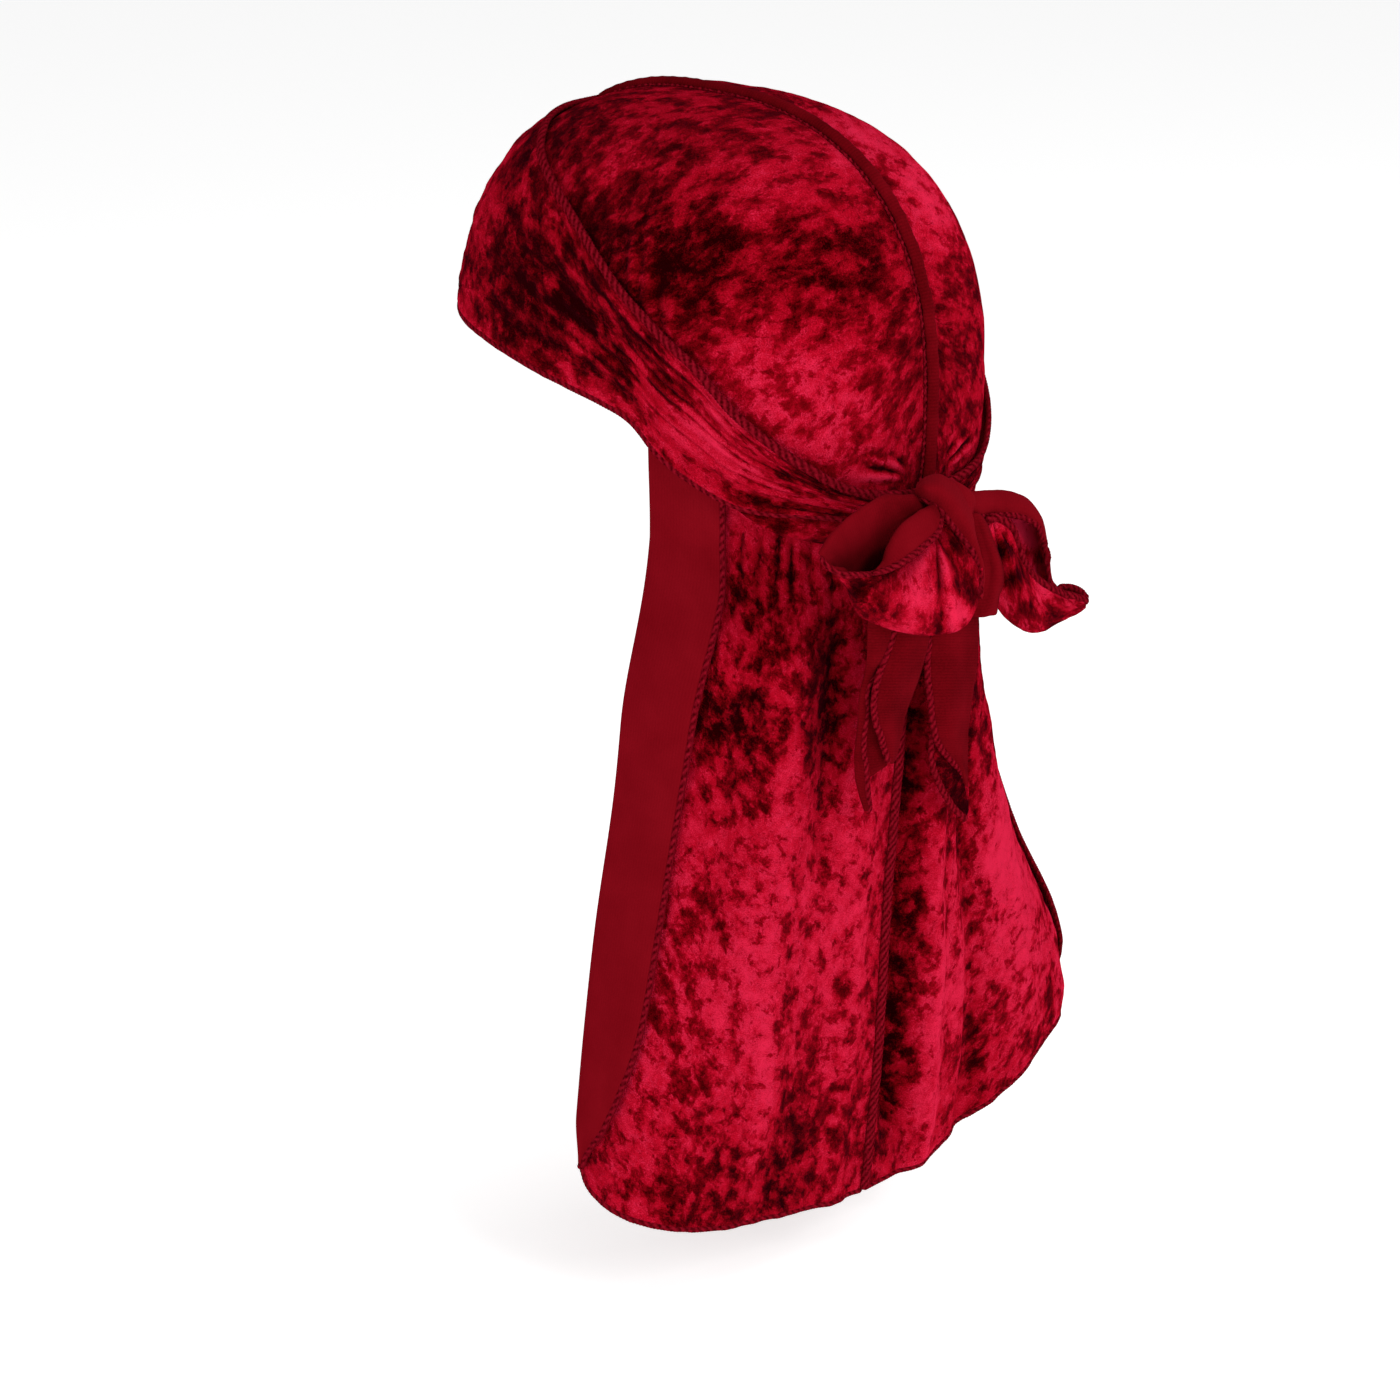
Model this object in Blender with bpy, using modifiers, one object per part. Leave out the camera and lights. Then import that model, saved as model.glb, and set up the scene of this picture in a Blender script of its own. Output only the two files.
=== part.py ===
"""Durag of crushed velvet: two crown panels, a wrap round the brow, a long cape and a bow tied at the nape."""

import math

import bmesh
import bpy
import numpy as np
from mathutils import Vector

# Frame: wearer's left is +X, the back is +Y, up is +Z. The origin is in the head hollow,
# at the level where the head is widest.

# Head hollow, as half sizes from the origin
HEAD_HALF_WIDTH = 0.0785
HEAD_BACK = 0.113
HEAD_FRONT = 0.095
CROWN_RISE = 0.1035
NAPE_REACH = 0.105
HEAD_SQUARENESS = 2.5

# Cloth
CLOTH = 0.0012
STRAP_CLOTH = 0.0014
SEAM_RADIUS = 0.0017
SEAM_CLEARANCE = 0.0005

# Crown and the wrap round it
NAPE_ROLL = 0.003
NAPE_ROLL_HEIGHT = 0.011
NAPE_ROLL_CLEARANCE = 0.002
BAND_LIFT = 0.0028
BAND_END_TURN = 176
BAND_CREASE = 0.0013

# Cape, measured down from the nape edge
NAPE_EDGE = 0.054
CAPE_DROP = 0.276
CAPE_HALF_WIDTH = 0.120
CAPE_CREASE_TURN = 118
CAPE_TUCK_AT_SEAM = 0.0016
CAPE_TUCK_AT_CREASE = 0.0050
MARGIN_WIDTH = 0.030
MARGIN_RADIUS = 0.0016
FOLD_DEPTH = 0.010

# Bow at the nape
KNOT_BACK = 0.1230
KNOT_LEVEL = -0.040
KNOT_HALF_WIDTH = 0.0125
KNOT_HALF_DEPTH = 0.0102
KNOT_HALF_HEIGHT = 0.0120
BOW_REACH = 0.100
TAIL_REACH = 0.100

# Lower edge of a crown panel: along the panel, turn from the front in degrees, height / CROWN_RISE
CROWN_EDGE = (
    (0.00, 14, 0.81),
    (0.12, 40, 0.76),
    (0.25, 60, 0.69),
    (0.37, 80, 0.58),
    (0.48, 98, 0.43),
    (0.58, 113, 0.28),
    (0.67, 124, 0.12),
    (0.73, 131, -0.08),
    (0.78, 136, -0.29),
    (0.84, 145, -0.40),
    (0.90, 156, -0.47),
    (0.95, 167, -0.51),
    (1.00, 178, -0.52),
)

# The crown seam in the middle plane: along it, angle above the back in degrees
SEAM_START_ANGLE = 121
SEAM_END_ANGLE = -25
PANEL_START_ANGLE = 130
PANEL_END_ANGLE = -26

# Edges of the wrap: turn from the front in degrees, upper and lower height / CROWN_RISE
BAND_EDGES = (
    (0, 0.880, 0.195),
    (25, 0.875, 0.180),
    (45, 0.840, 0.155),
    (58, 0.785, 0.130),
    (71, 0.720, 0.095),
    (84, 0.645, 0.055),
    (95, 0.560, 0.025),
    (105, 0.460, -0.005),
    (115, 0.355, -0.060),
    (123, 0.265, -0.175),
    (131, 0.170, -0.255),
    (139, 0.020, -0.320),
    (146, -0.085, -0.345),
    (152, -0.165, -0.350),
    (161, -0.265, -0.375),
    (172, -0.310, -0.430),
    (180, -0.320, -0.440),
)

# Creases along the wrap: share of the way down at the front and at the knot, width share, depth / BAND_CREASE
BAND_CREASES = (
    (0.50, 0.22, 0.10, 1.0),
    (0.66, 0.50, 0.09, 1.0),
    (0.82, 0.76, 0.08, 0.8),
)

# Cape cross-sections: drop / CAPE_DROP, middle / HEAD_BACK, crease out / CAPE_HALF_WIDTH,
# crease back / HEAD_BACK, squareness, margin width / MARGIN_WIDTH
CAPE_LEFT = (
    (-0.16, 0.975, 0.610, 0.360, 2.5, 0.98),
    (0.00, 0.940, 0.650, 0.365, 2.5, 1.00),
    (0.17, 0.910, 0.690, 0.345, 2.5, 1.00),
    (0.35, 0.880, 0.727, 0.325, 2.6, 0.92),
    (0.53, 0.840, 0.805, 0.315, 2.8, 0.89),
    (0.68, 0.820, 0.893, 0.345, 3.0, 0.77),
    (0.80, 0.800, 0.950, 0.365, 3.1, 0.42),
    (0.86, 0.785, 0.975, 0.375, 3.2, 0.08),
    (1.00, 0.745, 1.010, 0.390, 3.4, 0.07),
)
CAPE_RIGHT = (
    (-0.16, 0.975, 0.610, 0.360, 2.5, 0.98),
    (0.00, 0.940, 0.650, 0.365, 2.5, 1.00),
    (0.17, 0.910, 0.690, 0.335, 2.4, 1.00),
    (0.35, 0.880, 0.750, 0.350, 2.6, 0.96),
    (0.53, 0.840, 0.875, 0.420, 3.2, 0.92),
    (0.68, 0.820, 1.040, 0.490, 4.2, 0.77),
    (0.80, 0.800, 1.130, 0.520, 4.6, 0.42),
    (0.86, 0.785, 1.130, 0.510, 4.6, 0.08),
    (1.00, 0.745, 1.170, 0.520, 4.6, 0.07),
)

# Top and hem of the cape: share of the way from the seam to the crease, both as drop / CAPE_DROP
CAPE_ENDS_LEFT = (
    (0.00, -0.030, 0.989),
    (0.30, -0.040, 0.975),
    (0.60, -0.072, 0.957),
    (0.72, -0.100, 0.942),
    (0.85, -0.134, 0.922),
    (0.93, -0.152, 0.906),
    (0.975, -0.161, 0.890),
    (1.00, -0.166, 0.866),
)
CAPE_ENDS_RIGHT = (
    (0.00, -0.030, 0.989),
    (0.30, -0.040, 0.970),
    (0.50, -0.060, 0.930),
    (0.62, -0.075, 0.890),
    (0.74, -0.104, 0.865),
    (0.87, -0.138, 0.845),
    (1.00, -0.166, 0.800),
)

# Folds down the cape: share from seam to crease, width share, depth / FOLD_DEPTH, from and to as drop / CAPE_DROP
FOLDS_LEFT = (
    (0.60, 0.060, 0.50, 0.10, 0.62),
    (0.30, 0.055, 0.45, 0.04, 0.50),
    (0.14, 0.060, -0.30, 0.10, 1.10),
    (0.45, 0.070, -0.30, 0.05, 0.90),
    (0.52, 0.020, 0.25, -0.02, 0.18),
    (0.42, 0.018, 0.25, -0.02, 0.16),
    (0.34, 0.018, 0.25, -0.02, 0.16),
    (0.25, 0.018, 0.25, -0.02, 0.16),
)
FOLDS_RIGHT = (
    (0.09, 0.045, 1.00, 0.06, 0.96),
    (0.24, 0.060, -0.50, 0.14, 1.05),
    (0.40, 0.050, 0.60, 0.20, 1.05),
    (0.60, 0.080, -0.35, 0.25, 1.05),
    (0.52, 0.020, 0.25, -0.02, 0.18),
    (0.42, 0.018, 0.25, -0.02, 0.16),
    (0.34, 0.018, 0.25, -0.02, 0.16),
    (0.25, 0.018, 0.25, -0.02, 0.16),
)

# Bow loops from the knot's middle, all / BOW_REACH: along, near edge side, out, up, far edge side, out, up, puff
LOOP_LEFT = (
    (0.00, 0.115, 0.075, -0.04, 0.13, -0.03, 0.05, 0.00),
    (0.10, 0.30, 0.14, -0.04, 0.28, 0.00, 0.12, 0.03),
    (0.20, 0.54, 0.19, -0.06, 0.50, 0.00, 0.14, 0.04),
    (0.30, 0.73, 0.18, -0.09, 0.66, -0.02, 0.09, 0.03),
    (0.38, 0.85, 0.13, -0.07, 0.79, -0.04, 0.02, 0.01),
    (0.46, 0.86, 0.12, -0.15, 0.80, -0.05, -0.08, 0.01),
    (0.56, 0.76, 0.17, -0.27, 0.68, -0.04, -0.16, 0.04),
    (0.68, 0.50, 0.22, -0.35, 0.46, -0.03, -0.20, 0.06),
    (0.80, 0.24, 0.22, -0.37, 0.26, -0.04, -0.20, 0.05),
    (0.90, 0.07, 0.18, -0.30, 0.17, -0.05, -0.15, 0.02),
    (1.00, 0.09, 0.065, -0.10, 0.12, -0.04, -0.07, 0.00),
)
LOOP_RIGHT = (
    (0.00, -0.115, 0.075, -0.03, -0.13, -0.02, 0.05, 0.00),
    (0.08, -0.17, 0.13, -0.06, -0.24, 0.01, 0.05, 0.02),
    (0.17, -0.19, 0.16, -0.12, -0.36, 0.01, 0.01, 0.04),
    (0.26, -0.25, 0.18, -0.22, -0.50, 0.01, -0.11, 0.04),
    (0.34, -0.34, 0.18, -0.31, -0.57, 0.01, -0.27, 0.03),
    (0.43, -0.52, 0.17, -0.39, -0.66, 0.01, -0.39, 0.02),
    (0.52, -0.77, 0.12, -0.46, -0.78, -0.02, -0.43, 0.01),
    (0.58, -0.77, 0.12, -0.54, -0.74, -0.05, -0.48, 0.01),
    (0.68, -0.58, 0.16, -0.57, -0.52, -0.06, -0.40, 0.03),
    (0.80, -0.36, 0.13, -0.55, -0.36, -0.07, -0.28, 0.03),
    (0.91, -0.20, 0.02, -0.38, -0.22, -0.08, -0.16, 0.01),
    (1.00, -0.11, 0.00, -0.10, -0.12, -0.045, -0.05, 0.00),
)

# Free ends from the knot's middle, all / TAIL_REACH, in the columns of the loops
TAIL_LEFT = (
    (0.00, 0.07, -0.03, -0.115, 0.00, -0.03, -0.122, 0.00),
    (0.16, 0.36, -0.08, -0.31, 0.13, -0.07, -0.32, 0.00),
    (0.30, 0.57, -0.05, -0.42, 0.19, -0.03, -0.46, 0.03),
    (0.48, 0.53, -0.05, -0.60, 0.24, -0.04, -0.66, 0.04),
    (0.65, 0.48, -0.07, -0.80, 0.26, -0.06, -0.78, 0.03),
    (0.82, 0.42, -0.10, -0.98, 0.25, -0.10, -0.94, 0.02),
    (1.00, 0.34, -0.14, -1.17, 0.27, -0.14, -1.11, 0.00),
)
TAIL_RIGHT = (
    (0.00, -0.02, 0.04, -0.122, -0.09, 0.02, -0.105, 0.00),
    (0.12, -0.02, 0.14, -0.20, -0.28, 0.09, -0.23, 0.04),
    (0.28, 0.02, 0.06, -0.42, -0.18, 0.01, -0.44, 0.03),
    (0.48, 0.13, -0.01, -0.66, -0.16, -0.02, -0.66, 0.04),
    (0.65, 0.09, -0.04, -0.88, -0.18, -0.04, -0.88, 0.03),
    (0.82, -0.04, -0.07, -1.09, -0.21, -0.07, -1.09, 0.02),
    (1.00, -0.20, -0.11, -1.32, -0.25, -0.11, -1.33, 0.00),
)

# Grid cells of each sheet
CROWN_CELLS = (22, 10)
BAND_CELLS = (58, 8)
CAPE_CELLS = (30, 17)
LOOP_CELLS = (24, 5)
TAIL_CELLS = (16, 4)
PLAN_STEPS = 48

VELVET = (0.42, 0.005, 0.025)
JERSEY = (0.22, 0.006, 0.014)
THREAD = (0.16, 0.005, 0.014)


def row_at(table, place):
    """The table's row at a place in its first column, smoothly between the rows."""
    rows = np.array(table, float)
    keys = rows[:, 0]
    place = min(max(place, keys[0]), keys[-1])
    i = int(min(max(np.searchsorted(keys, place) - 1, 0), len(keys) - 2))
    before = max(i - 1, 0)
    after = min(i + 2, len(keys) - 1)
    span = keys[i + 1] - keys[i]
    t = (place - keys[i]) / span
    start = (rows[i + 1] - rows[before]) / (keys[i + 1] - keys[before]) * span
    end = (rows[after] - rows[i]) / (keys[after] - keys[i]) * span
    return (
        rows[i] * (2 * t**3 - 3 * t**2 + 1)
        + start * (t**3 - 2 * t**2 + t)
        + rows[i + 1] * (3 * t**2 - 2 * t**3)
        + end * (t**3 - t**2)
    )


def ease(value):
    value = min(max(value, 0.0), 1.0)
    return value * value * (3 - 2 * value)


def head_sizes(point):
    back = HEAD_BACK if point.y > 0 else HEAD_FRONT
    rise = CROWN_RISE if point.z > 0 else NAPE_REACH
    return HEAD_HALF_WIDTH, back, rise


def outward(point):
    """The way off the head surface at a point on it."""
    sizes = head_sizes(point)
    pull = [math.copysign(abs(c / s) ** (HEAD_SQUARENESS - 1) / s, c) for c, s in zip(point, sizes)]
    return Vector(pull).normalized()


def on_head(way, lift):
    sizes = head_sizes(way)
    total = sum(abs(c / s) ** HEAD_SQUARENESS for c, s in zip(way, sizes))
    point = way * total ** (-1 / HEAD_SQUARENESS)
    return point + outward(point) * lift


def head_point(turn, height, lift):
    """A point on the head by its turn from the front, in degrees, and its height."""
    way = Vector((math.sin(math.radians(turn)), -math.cos(math.radians(turn)), 0.0))
    width, back, rise = head_sizes(Vector((way.x, way.y, height)))
    level = max(1 - abs(height / rise) ** HEAD_SQUARENESS, 0.0) ** (1 / HEAD_SQUARENESS)
    ring = (abs(way.x / width) ** HEAD_SQUARENESS + abs(way.y / back) ** HEAD_SQUARENESS) ** (
        -1 / HEAD_SQUARENESS
    )
    point = way * (level * ring)
    point.z = height
    return point + outward(point) * lift


def turn_of(point):
    return math.degrees(math.atan2(abs(point.x), -point.y))


def band_edges(turn):
    edges = row_at(BAND_EDGES, abs(turn))
    return edges[1] * CROWN_RISE, edges[2] * CROWN_RISE


def crown_point(u, v, side):
    angle = math.radians(PANEL_START_ANGLE + (PANEL_END_ANGLE - PANEL_START_ANGLE) * u)
    at_seam = Vector((0.0, math.cos(angle), math.sin(angle)))
    edge = row_at(CROWN_EDGE, u)
    at_edge = head_point(edge[1], edge[2] * CROWN_RISE, 0.0).normalized()
    way = at_seam.lerp(at_edge, v).normalized()
    bare = on_head(way, 0.0)
    below = (band_edges(turn_of(bare))[1] - NAPE_ROLL_CLEARANCE - bare.z) / NAPE_ROLL_HEIGHT
    roll = NAPE_ROLL * math.sin(math.pi * min(max(below, 0.0), 1.0))
    point = on_head(way, CLOTH / 2 + roll)
    point.x += (SEAM_RADIUS + SEAM_CLEARANCE) * (1 - v)
    point.x *= side
    return point


def band_point(u, v):
    turn = BAND_END_TURN * (1 - 2 * u)
    upper, lower = band_edges(turn)
    to_knot = abs(turn) / BAND_END_TURN
    crease = 0.0
    for front, knot, width, depth in BAND_CREASES:
        place = front + (knot - front) * to_knot
        crease += depth * math.exp(-(((v - place) / width) ** 2))
    lift = BAND_LIFT + BAND_CREASE * (0.9 - crease) * ease(to_knot * 2)
    point = head_point(abs(turn), upper + (lower - upper) * v, lift)
    point.x = math.copysign(point.x, turn)
    return point


def cape_plan(levels, drop):
    """One cross-section of the cape from the seam to the crease, on the left side."""
    share = row_at(levels, drop / CAPE_DROP)
    height = -NAPE_EDGE - drop
    power = 2 / share[4]
    back = share[1] * HEAD_BACK
    fold_back = share[3] * HEAD_BACK
    points = []
    for step in range(PLAN_STEPS + 1):
        s = step / PLAN_STEPS
        out = share[2] * CAPE_HALF_WIDTH * math.sin(s * math.pi / 2) ** power
        rear = fold_back + (back - fold_back) * max(math.cos(s * math.pi / 2), 0.0) ** power
        hung = Vector((out, rear, height))
        turn = 180 + (CAPE_CREASE_TURN - 180) * s
        tuck = CAPE_TUCK_AT_SEAM + (CAPE_TUCK_AT_CREASE - CAPE_TUCK_AT_SEAM) * ease(s * 2)
        worn = head_point(turn, max(height, -NAPE_REACH / 2), -tuck)
        worn.z = height
        free = ease((drop + CAPE_DROP * 0.02) / (CAPE_DROP * (0.17 + 0.08 * s)))
        points.append(worn.lerp(hung, free))
    return points, share[5] * MARGIN_WIDTH


def along_plan(points, length_share):
    """The place at this share of the cross-section's length, and the way out from the cloth there."""
    plan = np.array([(p.x, p.y) for p in points])
    steps = np.linalg.norm(np.diff(plan, axis=0), axis=1)
    run = np.concatenate([[0.0], np.cumsum(steps)])
    place = length_share * run[-1]
    ahead = min(place + run[-1] * 0.02, run[-1])
    behind = max(place - run[-1] * 0.02, 0.0)
    here = [np.interp(place, run, plan[:, i]) for i in (0, 1)]
    way = [np.interp(ahead, run, plan[:, i]) - np.interp(behind, run, plan[:, i]) for i in (0, 1)]
    along = Vector((way[0], way[1], 0.0)).normalized()
    return Vector((here[0], here[1], points[0].z)), along, Vector((-along.y, along.x, 0.0)), run[-1]


def fold_offset(folds, s, drop):
    depth = 0.0
    for place, width, share, start, end in folds:
        fade = ease((drop / CAPE_DROP - start) / 0.12) * ease((end - drop / CAPE_DROP) / 0.12)
        depth += share * fade * math.exp(-(((s - place) / width) ** 2))
    return -FOLD_DEPTH * depth * ease((1 - s) * 4)


def cape_point(u, v, side):
    levels, ends, folds = (
        (CAPE_LEFT, CAPE_ENDS_LEFT, FOLDS_LEFT) if side > 0 else (CAPE_RIGHT, CAPE_ENDS_RIGHT, FOLDS_RIGHT)
    )
    main_share, crease_share = 0.76, 0.88
    s = min(u / main_share, 1.0)
    ends_here = row_at(ends, s)
    drop = (ends_here[1] + (ends_here[2] - ends_here[1]) * v) * CAPE_DROP
    points, margin = cape_plan(levels, drop)
    if u <= main_share:
        point, _, out, length = along_plan(points, s)
        point += out * fold_offset(folds, s, drop)
        point.x += (SEAM_RADIUS + SEAM_CLEARANCE) * (1 - s)
    elif u <= crease_share:
        point, along, out, length = along_plan(points, 1.0)
        bend = math.pi * (u - main_share) / (crease_share - main_share)
        point += out * MARGIN_RADIUS * (1 - math.cos(bend)) + along * MARGIN_RADIUS * math.sin(bend)
    else:
        length = along_plan(points, 1.0)[3]
        back = margin * (u - crease_share) / (1 - crease_share) / length
        ends_here = row_at(ends, 1 - back * ease(1.2 - v))
        drop = (ends_here[1] + (row_at(ends, 1.0)[2] - ends_here[1]) * v) * CAPE_DROP
        points, margin = cape_plan(levels, drop)
        point, _, out, length = along_plan(points, 1 - back)
        point += out * MARGIN_RADIUS * 2
    point.x *= side
    return point


def ribbon_point(table, reach, u, v):
    row = row_at(table, u) * reach
    ahead = row_at(table, min(u + 0.02, 1.0)) * reach
    behind = row_at(table, max(u - 0.02, 0.0)) * reach
    near = Vector(row[1:4])
    far = Vector(row[4:7])
    path = Vector((ahead[1:4] + ahead[4:7]) - (behind[1:4] + behind[4:7]))
    puff = path.cross(far - near).normalized() * row[7] * math.sin(math.pi * v)
    return Vector((0.0, KNOT_BACK, KNOT_LEVEL)) + near.lerp(far, v) + puff


def material(name, colour, roughness):
    mat = bpy.data.materials.new(name)
    mat.use_nodes = True
    shader = mat.node_tree.nodes["Principled BSDF"]
    shader.inputs["Base Color"].default_value = (*colour, 1.0)
    shader.inputs["Roughness"].default_value = roughness
    return mat


def place_object(name, data, colour, roughness):
    data.materials.append(material(name, colour, roughness))
    obj = bpy.data.objects.new(name, data)
    collection.objects.link(obj)
    return obj


def sheet(name, cells, place, thickness, colour):
    """A cloth sheet: a grid laid on place(u, v), made as thick as the cloth."""
    bm = bmesh.new()
    bmesh.ops.create_grid(bm, x_segments=cells[0], y_segments=cells[1], size=0.5)
    for vert in bm.verts:
        vert.co = place(vert.co.x + 0.5, vert.co.y + 0.5)
    mesh = bpy.data.meshes.new(name)
    bm.to_mesh(mesh)
    bm.free()
    mesh.shade_smooth()
    obj = place_object(name, mesh, colour, 0.6)
    solid = obj.modifiers.new("Thickness", "SOLIDIFY")
    solid.thickness = thickness
    solid.offset = 0.0
    return obj


def seam(name, points):
    """An overlocked seam: a round roll along a line of points."""
    curve = bpy.data.curves.new(name, "CURVE")
    curve.dimensions = "3D"
    curve.bevel_depth = SEAM_RADIUS
    curve.bevel_resolution = 2
    curve.use_fill_caps = True
    spline = curve.splines.new("POLY")
    spline.points.add(len(points) - 1)
    for target, point in zip(spline.points, points):
        target.co = (*point, 1.0)
    return place_object(name, curve, THREAD, 0.8)


def knot():
    """The tied knot: a rounded lump with the strap's turns pressed into it."""
    bm = bmesh.new()
    bmesh.ops.create_uvsphere(bm, u_segments=24, v_segments=14, radius=1.0)
    for vert in bm.verts:
        way = vert.co.normalized()
        slant = way.x * 0.8 - way.z
        turns = 0.07 * math.cos(slant * 6.5) * (1 - way.y * way.y * 0.3)
        swell = (abs(way.x) ** 2.6 + abs(way.y) ** 2.6 + abs(way.z) ** 2.6) ** (-1 / 2.6)
        vert.co = Vector(
            (
                way.x * KNOT_HALF_WIDTH * swell * (0.93 + turns),
                way.y * KNOT_HALF_DEPTH * swell * 0.95 + KNOT_BACK,
                way.z * KNOT_HALF_HEIGHT * swell * (0.93 + turns) + KNOT_LEVEL,
            )
        )
    mesh = bpy.data.meshes.new("knot")
    bm.to_mesh(mesh)
    bm.free()
    mesh.shade_smooth()
    return place_object("knot", mesh, JERSEY, 0.8)


for old in list(bpy.data.objects):
    bpy.data.objects.remove(old)
collection = bpy.data.collections.new("durag")
bpy.context.scene.collection.children.link(collection)

for label, side in (("left", 1), ("right", -1)):
    sheet(f"crown_{label}", CROWN_CELLS, lambda u, v: crown_point(u, v, side), CLOTH, VELVET)
    sheet(f"cape_{label}", CAPE_CELLS, lambda u, v: cape_point(u, v, side), CLOTH, VELVET)
sheet("head_band", BAND_CELLS, band_point, STRAP_CLOTH, VELVET)

crown_line = []
for step in range(33):
    angle = math.radians(SEAM_START_ANGLE + (SEAM_END_ANGLE - SEAM_START_ANGLE) * step / 32)
    crown_line.append(on_head(Vector((0.0, math.cos(angle), math.sin(angle))), CLOTH + SEAM_CLEARANCE))
seam("crown_seam", crown_line)

cape_line = []
for step in range(25):
    drop = CAPE_ENDS_LEFT[0][2] * CAPE_DROP * step / 24
    middle = cape_plan(CAPE_LEFT, drop)[0][0]
    cape_line.append(Vector((0.0, middle.y + CLOTH / 2, middle.z)))
seam("cape_seam", cape_line)

knot()
sheet("loop_left", LOOP_CELLS, lambda u, v: ribbon_point(LOOP_LEFT, BOW_REACH, u, v), STRAP_CLOTH, JERSEY)
sheet("loop_right", LOOP_CELLS, lambda u, v: ribbon_point(LOOP_RIGHT, BOW_REACH, u, v), STRAP_CLOTH, JERSEY)
sheet("tail_left", TAIL_CELLS, lambda u, v: ribbon_point(TAIL_LEFT, TAIL_REACH, u, v), STRAP_CLOTH, JERSEY)
sheet("tail_right", TAIL_CELLS, lambda u, v: ribbon_point(TAIL_RIGHT, TAIL_REACH, u, v), STRAP_CLOTH, JERSEY)
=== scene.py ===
import math

import bpy
import numpy as np
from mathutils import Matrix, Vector


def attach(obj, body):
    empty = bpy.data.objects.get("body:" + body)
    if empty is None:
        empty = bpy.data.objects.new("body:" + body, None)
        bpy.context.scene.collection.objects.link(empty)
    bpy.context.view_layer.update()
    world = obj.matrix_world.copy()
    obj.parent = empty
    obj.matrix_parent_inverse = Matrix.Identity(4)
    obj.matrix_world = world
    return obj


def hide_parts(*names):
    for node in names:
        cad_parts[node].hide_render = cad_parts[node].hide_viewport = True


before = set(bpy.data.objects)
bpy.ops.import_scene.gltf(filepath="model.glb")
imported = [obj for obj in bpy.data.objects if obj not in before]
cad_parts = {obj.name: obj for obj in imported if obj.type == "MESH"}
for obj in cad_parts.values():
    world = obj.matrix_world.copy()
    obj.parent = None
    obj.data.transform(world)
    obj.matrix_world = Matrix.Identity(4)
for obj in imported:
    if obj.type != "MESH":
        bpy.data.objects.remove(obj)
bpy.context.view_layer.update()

# The head hollow that the durag is worn round, in metres. Wearer's left is +X, the back is +Y
head = {
    "halfWidth": 0.0785,
    "back": 0.113,
    "front": 0.095,
    "rise": 0.1035,
    "nape": 0.105,
    "squareness": 2.5,
}


def rowsAt(table, places):
    # the table's rows at places in its first column, smoothly between the rows
    rows = np.array(table, float)
    keys = rows[:, 0]
    places = np.clip(np.asarray(places, float), keys[0], keys[-1])
    i = np.clip(np.searchsorted(keys, places) - 1, 0, len(keys) - 2)
    before, after = np.maximum(i - 1, 0), np.minimum(i + 2, len(keys) - 1)
    span = keys[i + 1] - keys[i]
    t = ((places - keys[i]) / span)[..., None]
    start = (rows[i + 1] - rows[before]) * (span / (keys[i + 1] - keys[before]))[..., None]
    end = (rows[after] - rows[i]) * (span / (keys[after] - keys[i]))[..., None]
    return (
        rows[i] * (2 * t**3 - 3 * t**2 + 1)
        + start * (t**3 - 2 * t**2 + t)
        + rows[i + 1] * (3 * t**2 - 2 * t**3)
        + end * (t**3 - t**2)
    )


def ease(value):
    value = np.clip(value, 0.0, 1.0)
    return value * value * (3 - 2 * value)


def bell(value, middle, width):
    return np.exp(-(((value - middle) / width) ** 2))


def unit(vectors):
    return vectors / np.maximum(np.linalg.norm(vectors, axis=-1, keepdims=True), 1e-12)


def lumps(a, b, sizeA, sizeB, seed):
    # smooth noise from -1 to 1 over two lengths along the cloth, with lumps of these sizes
    x, y = a / sizeA + seed * 7.31, b / sizeB + seed * 3.77
    cellX, cellY = np.floor(x).astype(np.int64), np.floor(y).astype(np.int64)
    tx, ty = ease(x - cellX), ease(y - cellY)
    total = 0.0
    for stepX, wx in ((0, 1 - tx), (1, tx)):
        for stepY, wy in ((0, 1 - ty), (1, ty)):
            h = (cellX + stepX) * 374761393 + (cellY + stepY) * 668265263 + seed * 1013904223
            h = (h ^ (h >> 13)) * 1274126177
            total = total + (((h ^ (h >> 16)) & 0xFFFF) / 32767.5 - 1) * wx * wy
    return total


def rough(a, b, size, seed, octaves=3, stretch=1.0):
    # several sizes of lumps together
    return sum(
        lumps(a, b, size * stretch / 2**k, size / 2**k, seed + k) / 1.8**k for k in range(octaves)
    )


def headSizes(p):
    return np.stack(
        [
            np.full(p.shape[:-1], head["halfWidth"]),
            np.where(p[..., 1] > 0, head["back"], head["front"]),
            np.where(p[..., 2] > 0, head["rise"], head["nape"]),
        ],
        -1,
    )


def outward(p):
    # the way off the head surface at points on it
    sizes = headSizes(p)
    return unit(np.sign(p) * np.abs(p / sizes) ** (head["squareness"] - 1) / sizes)


def onHead(way, lift):
    total = (np.abs(way / headSizes(way)) ** head["squareness"]).sum(-1, keepdims=True)
    p = way * total ** (-1 / head["squareness"])
    return p + outward(p) * np.asarray(lift)[..., None]


def headPoint(turn, height, lift):
    # points on the head by their turn from the front in degrees and their height
    power = head["squareness"]
    turn, height = np.broadcast_arrays(np.asarray(turn, float), np.asarray(height, float))
    way = np.stack([np.sin(np.radians(turn)), -np.cos(np.radians(turn)), height], -1)
    sizes = headSizes(way)
    level = np.maximum(1 - np.abs(height / sizes[..., 2]) ** power, 0.0) ** (1 / power)
    ring = (np.abs(way[..., :2] / sizes[..., :2]) ** power).sum(-1) ** (-1 / power)
    p = np.concatenate([way[..., :2] * (level * ring)[..., None], height[..., None]], -1)
    return p + outward(p) * np.broadcast_to(lift, height.shape)[..., None]


def turnOf(p):
    return np.degrees(np.arctan2(np.abs(p[..., 0]), -p[..., 1]))


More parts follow.
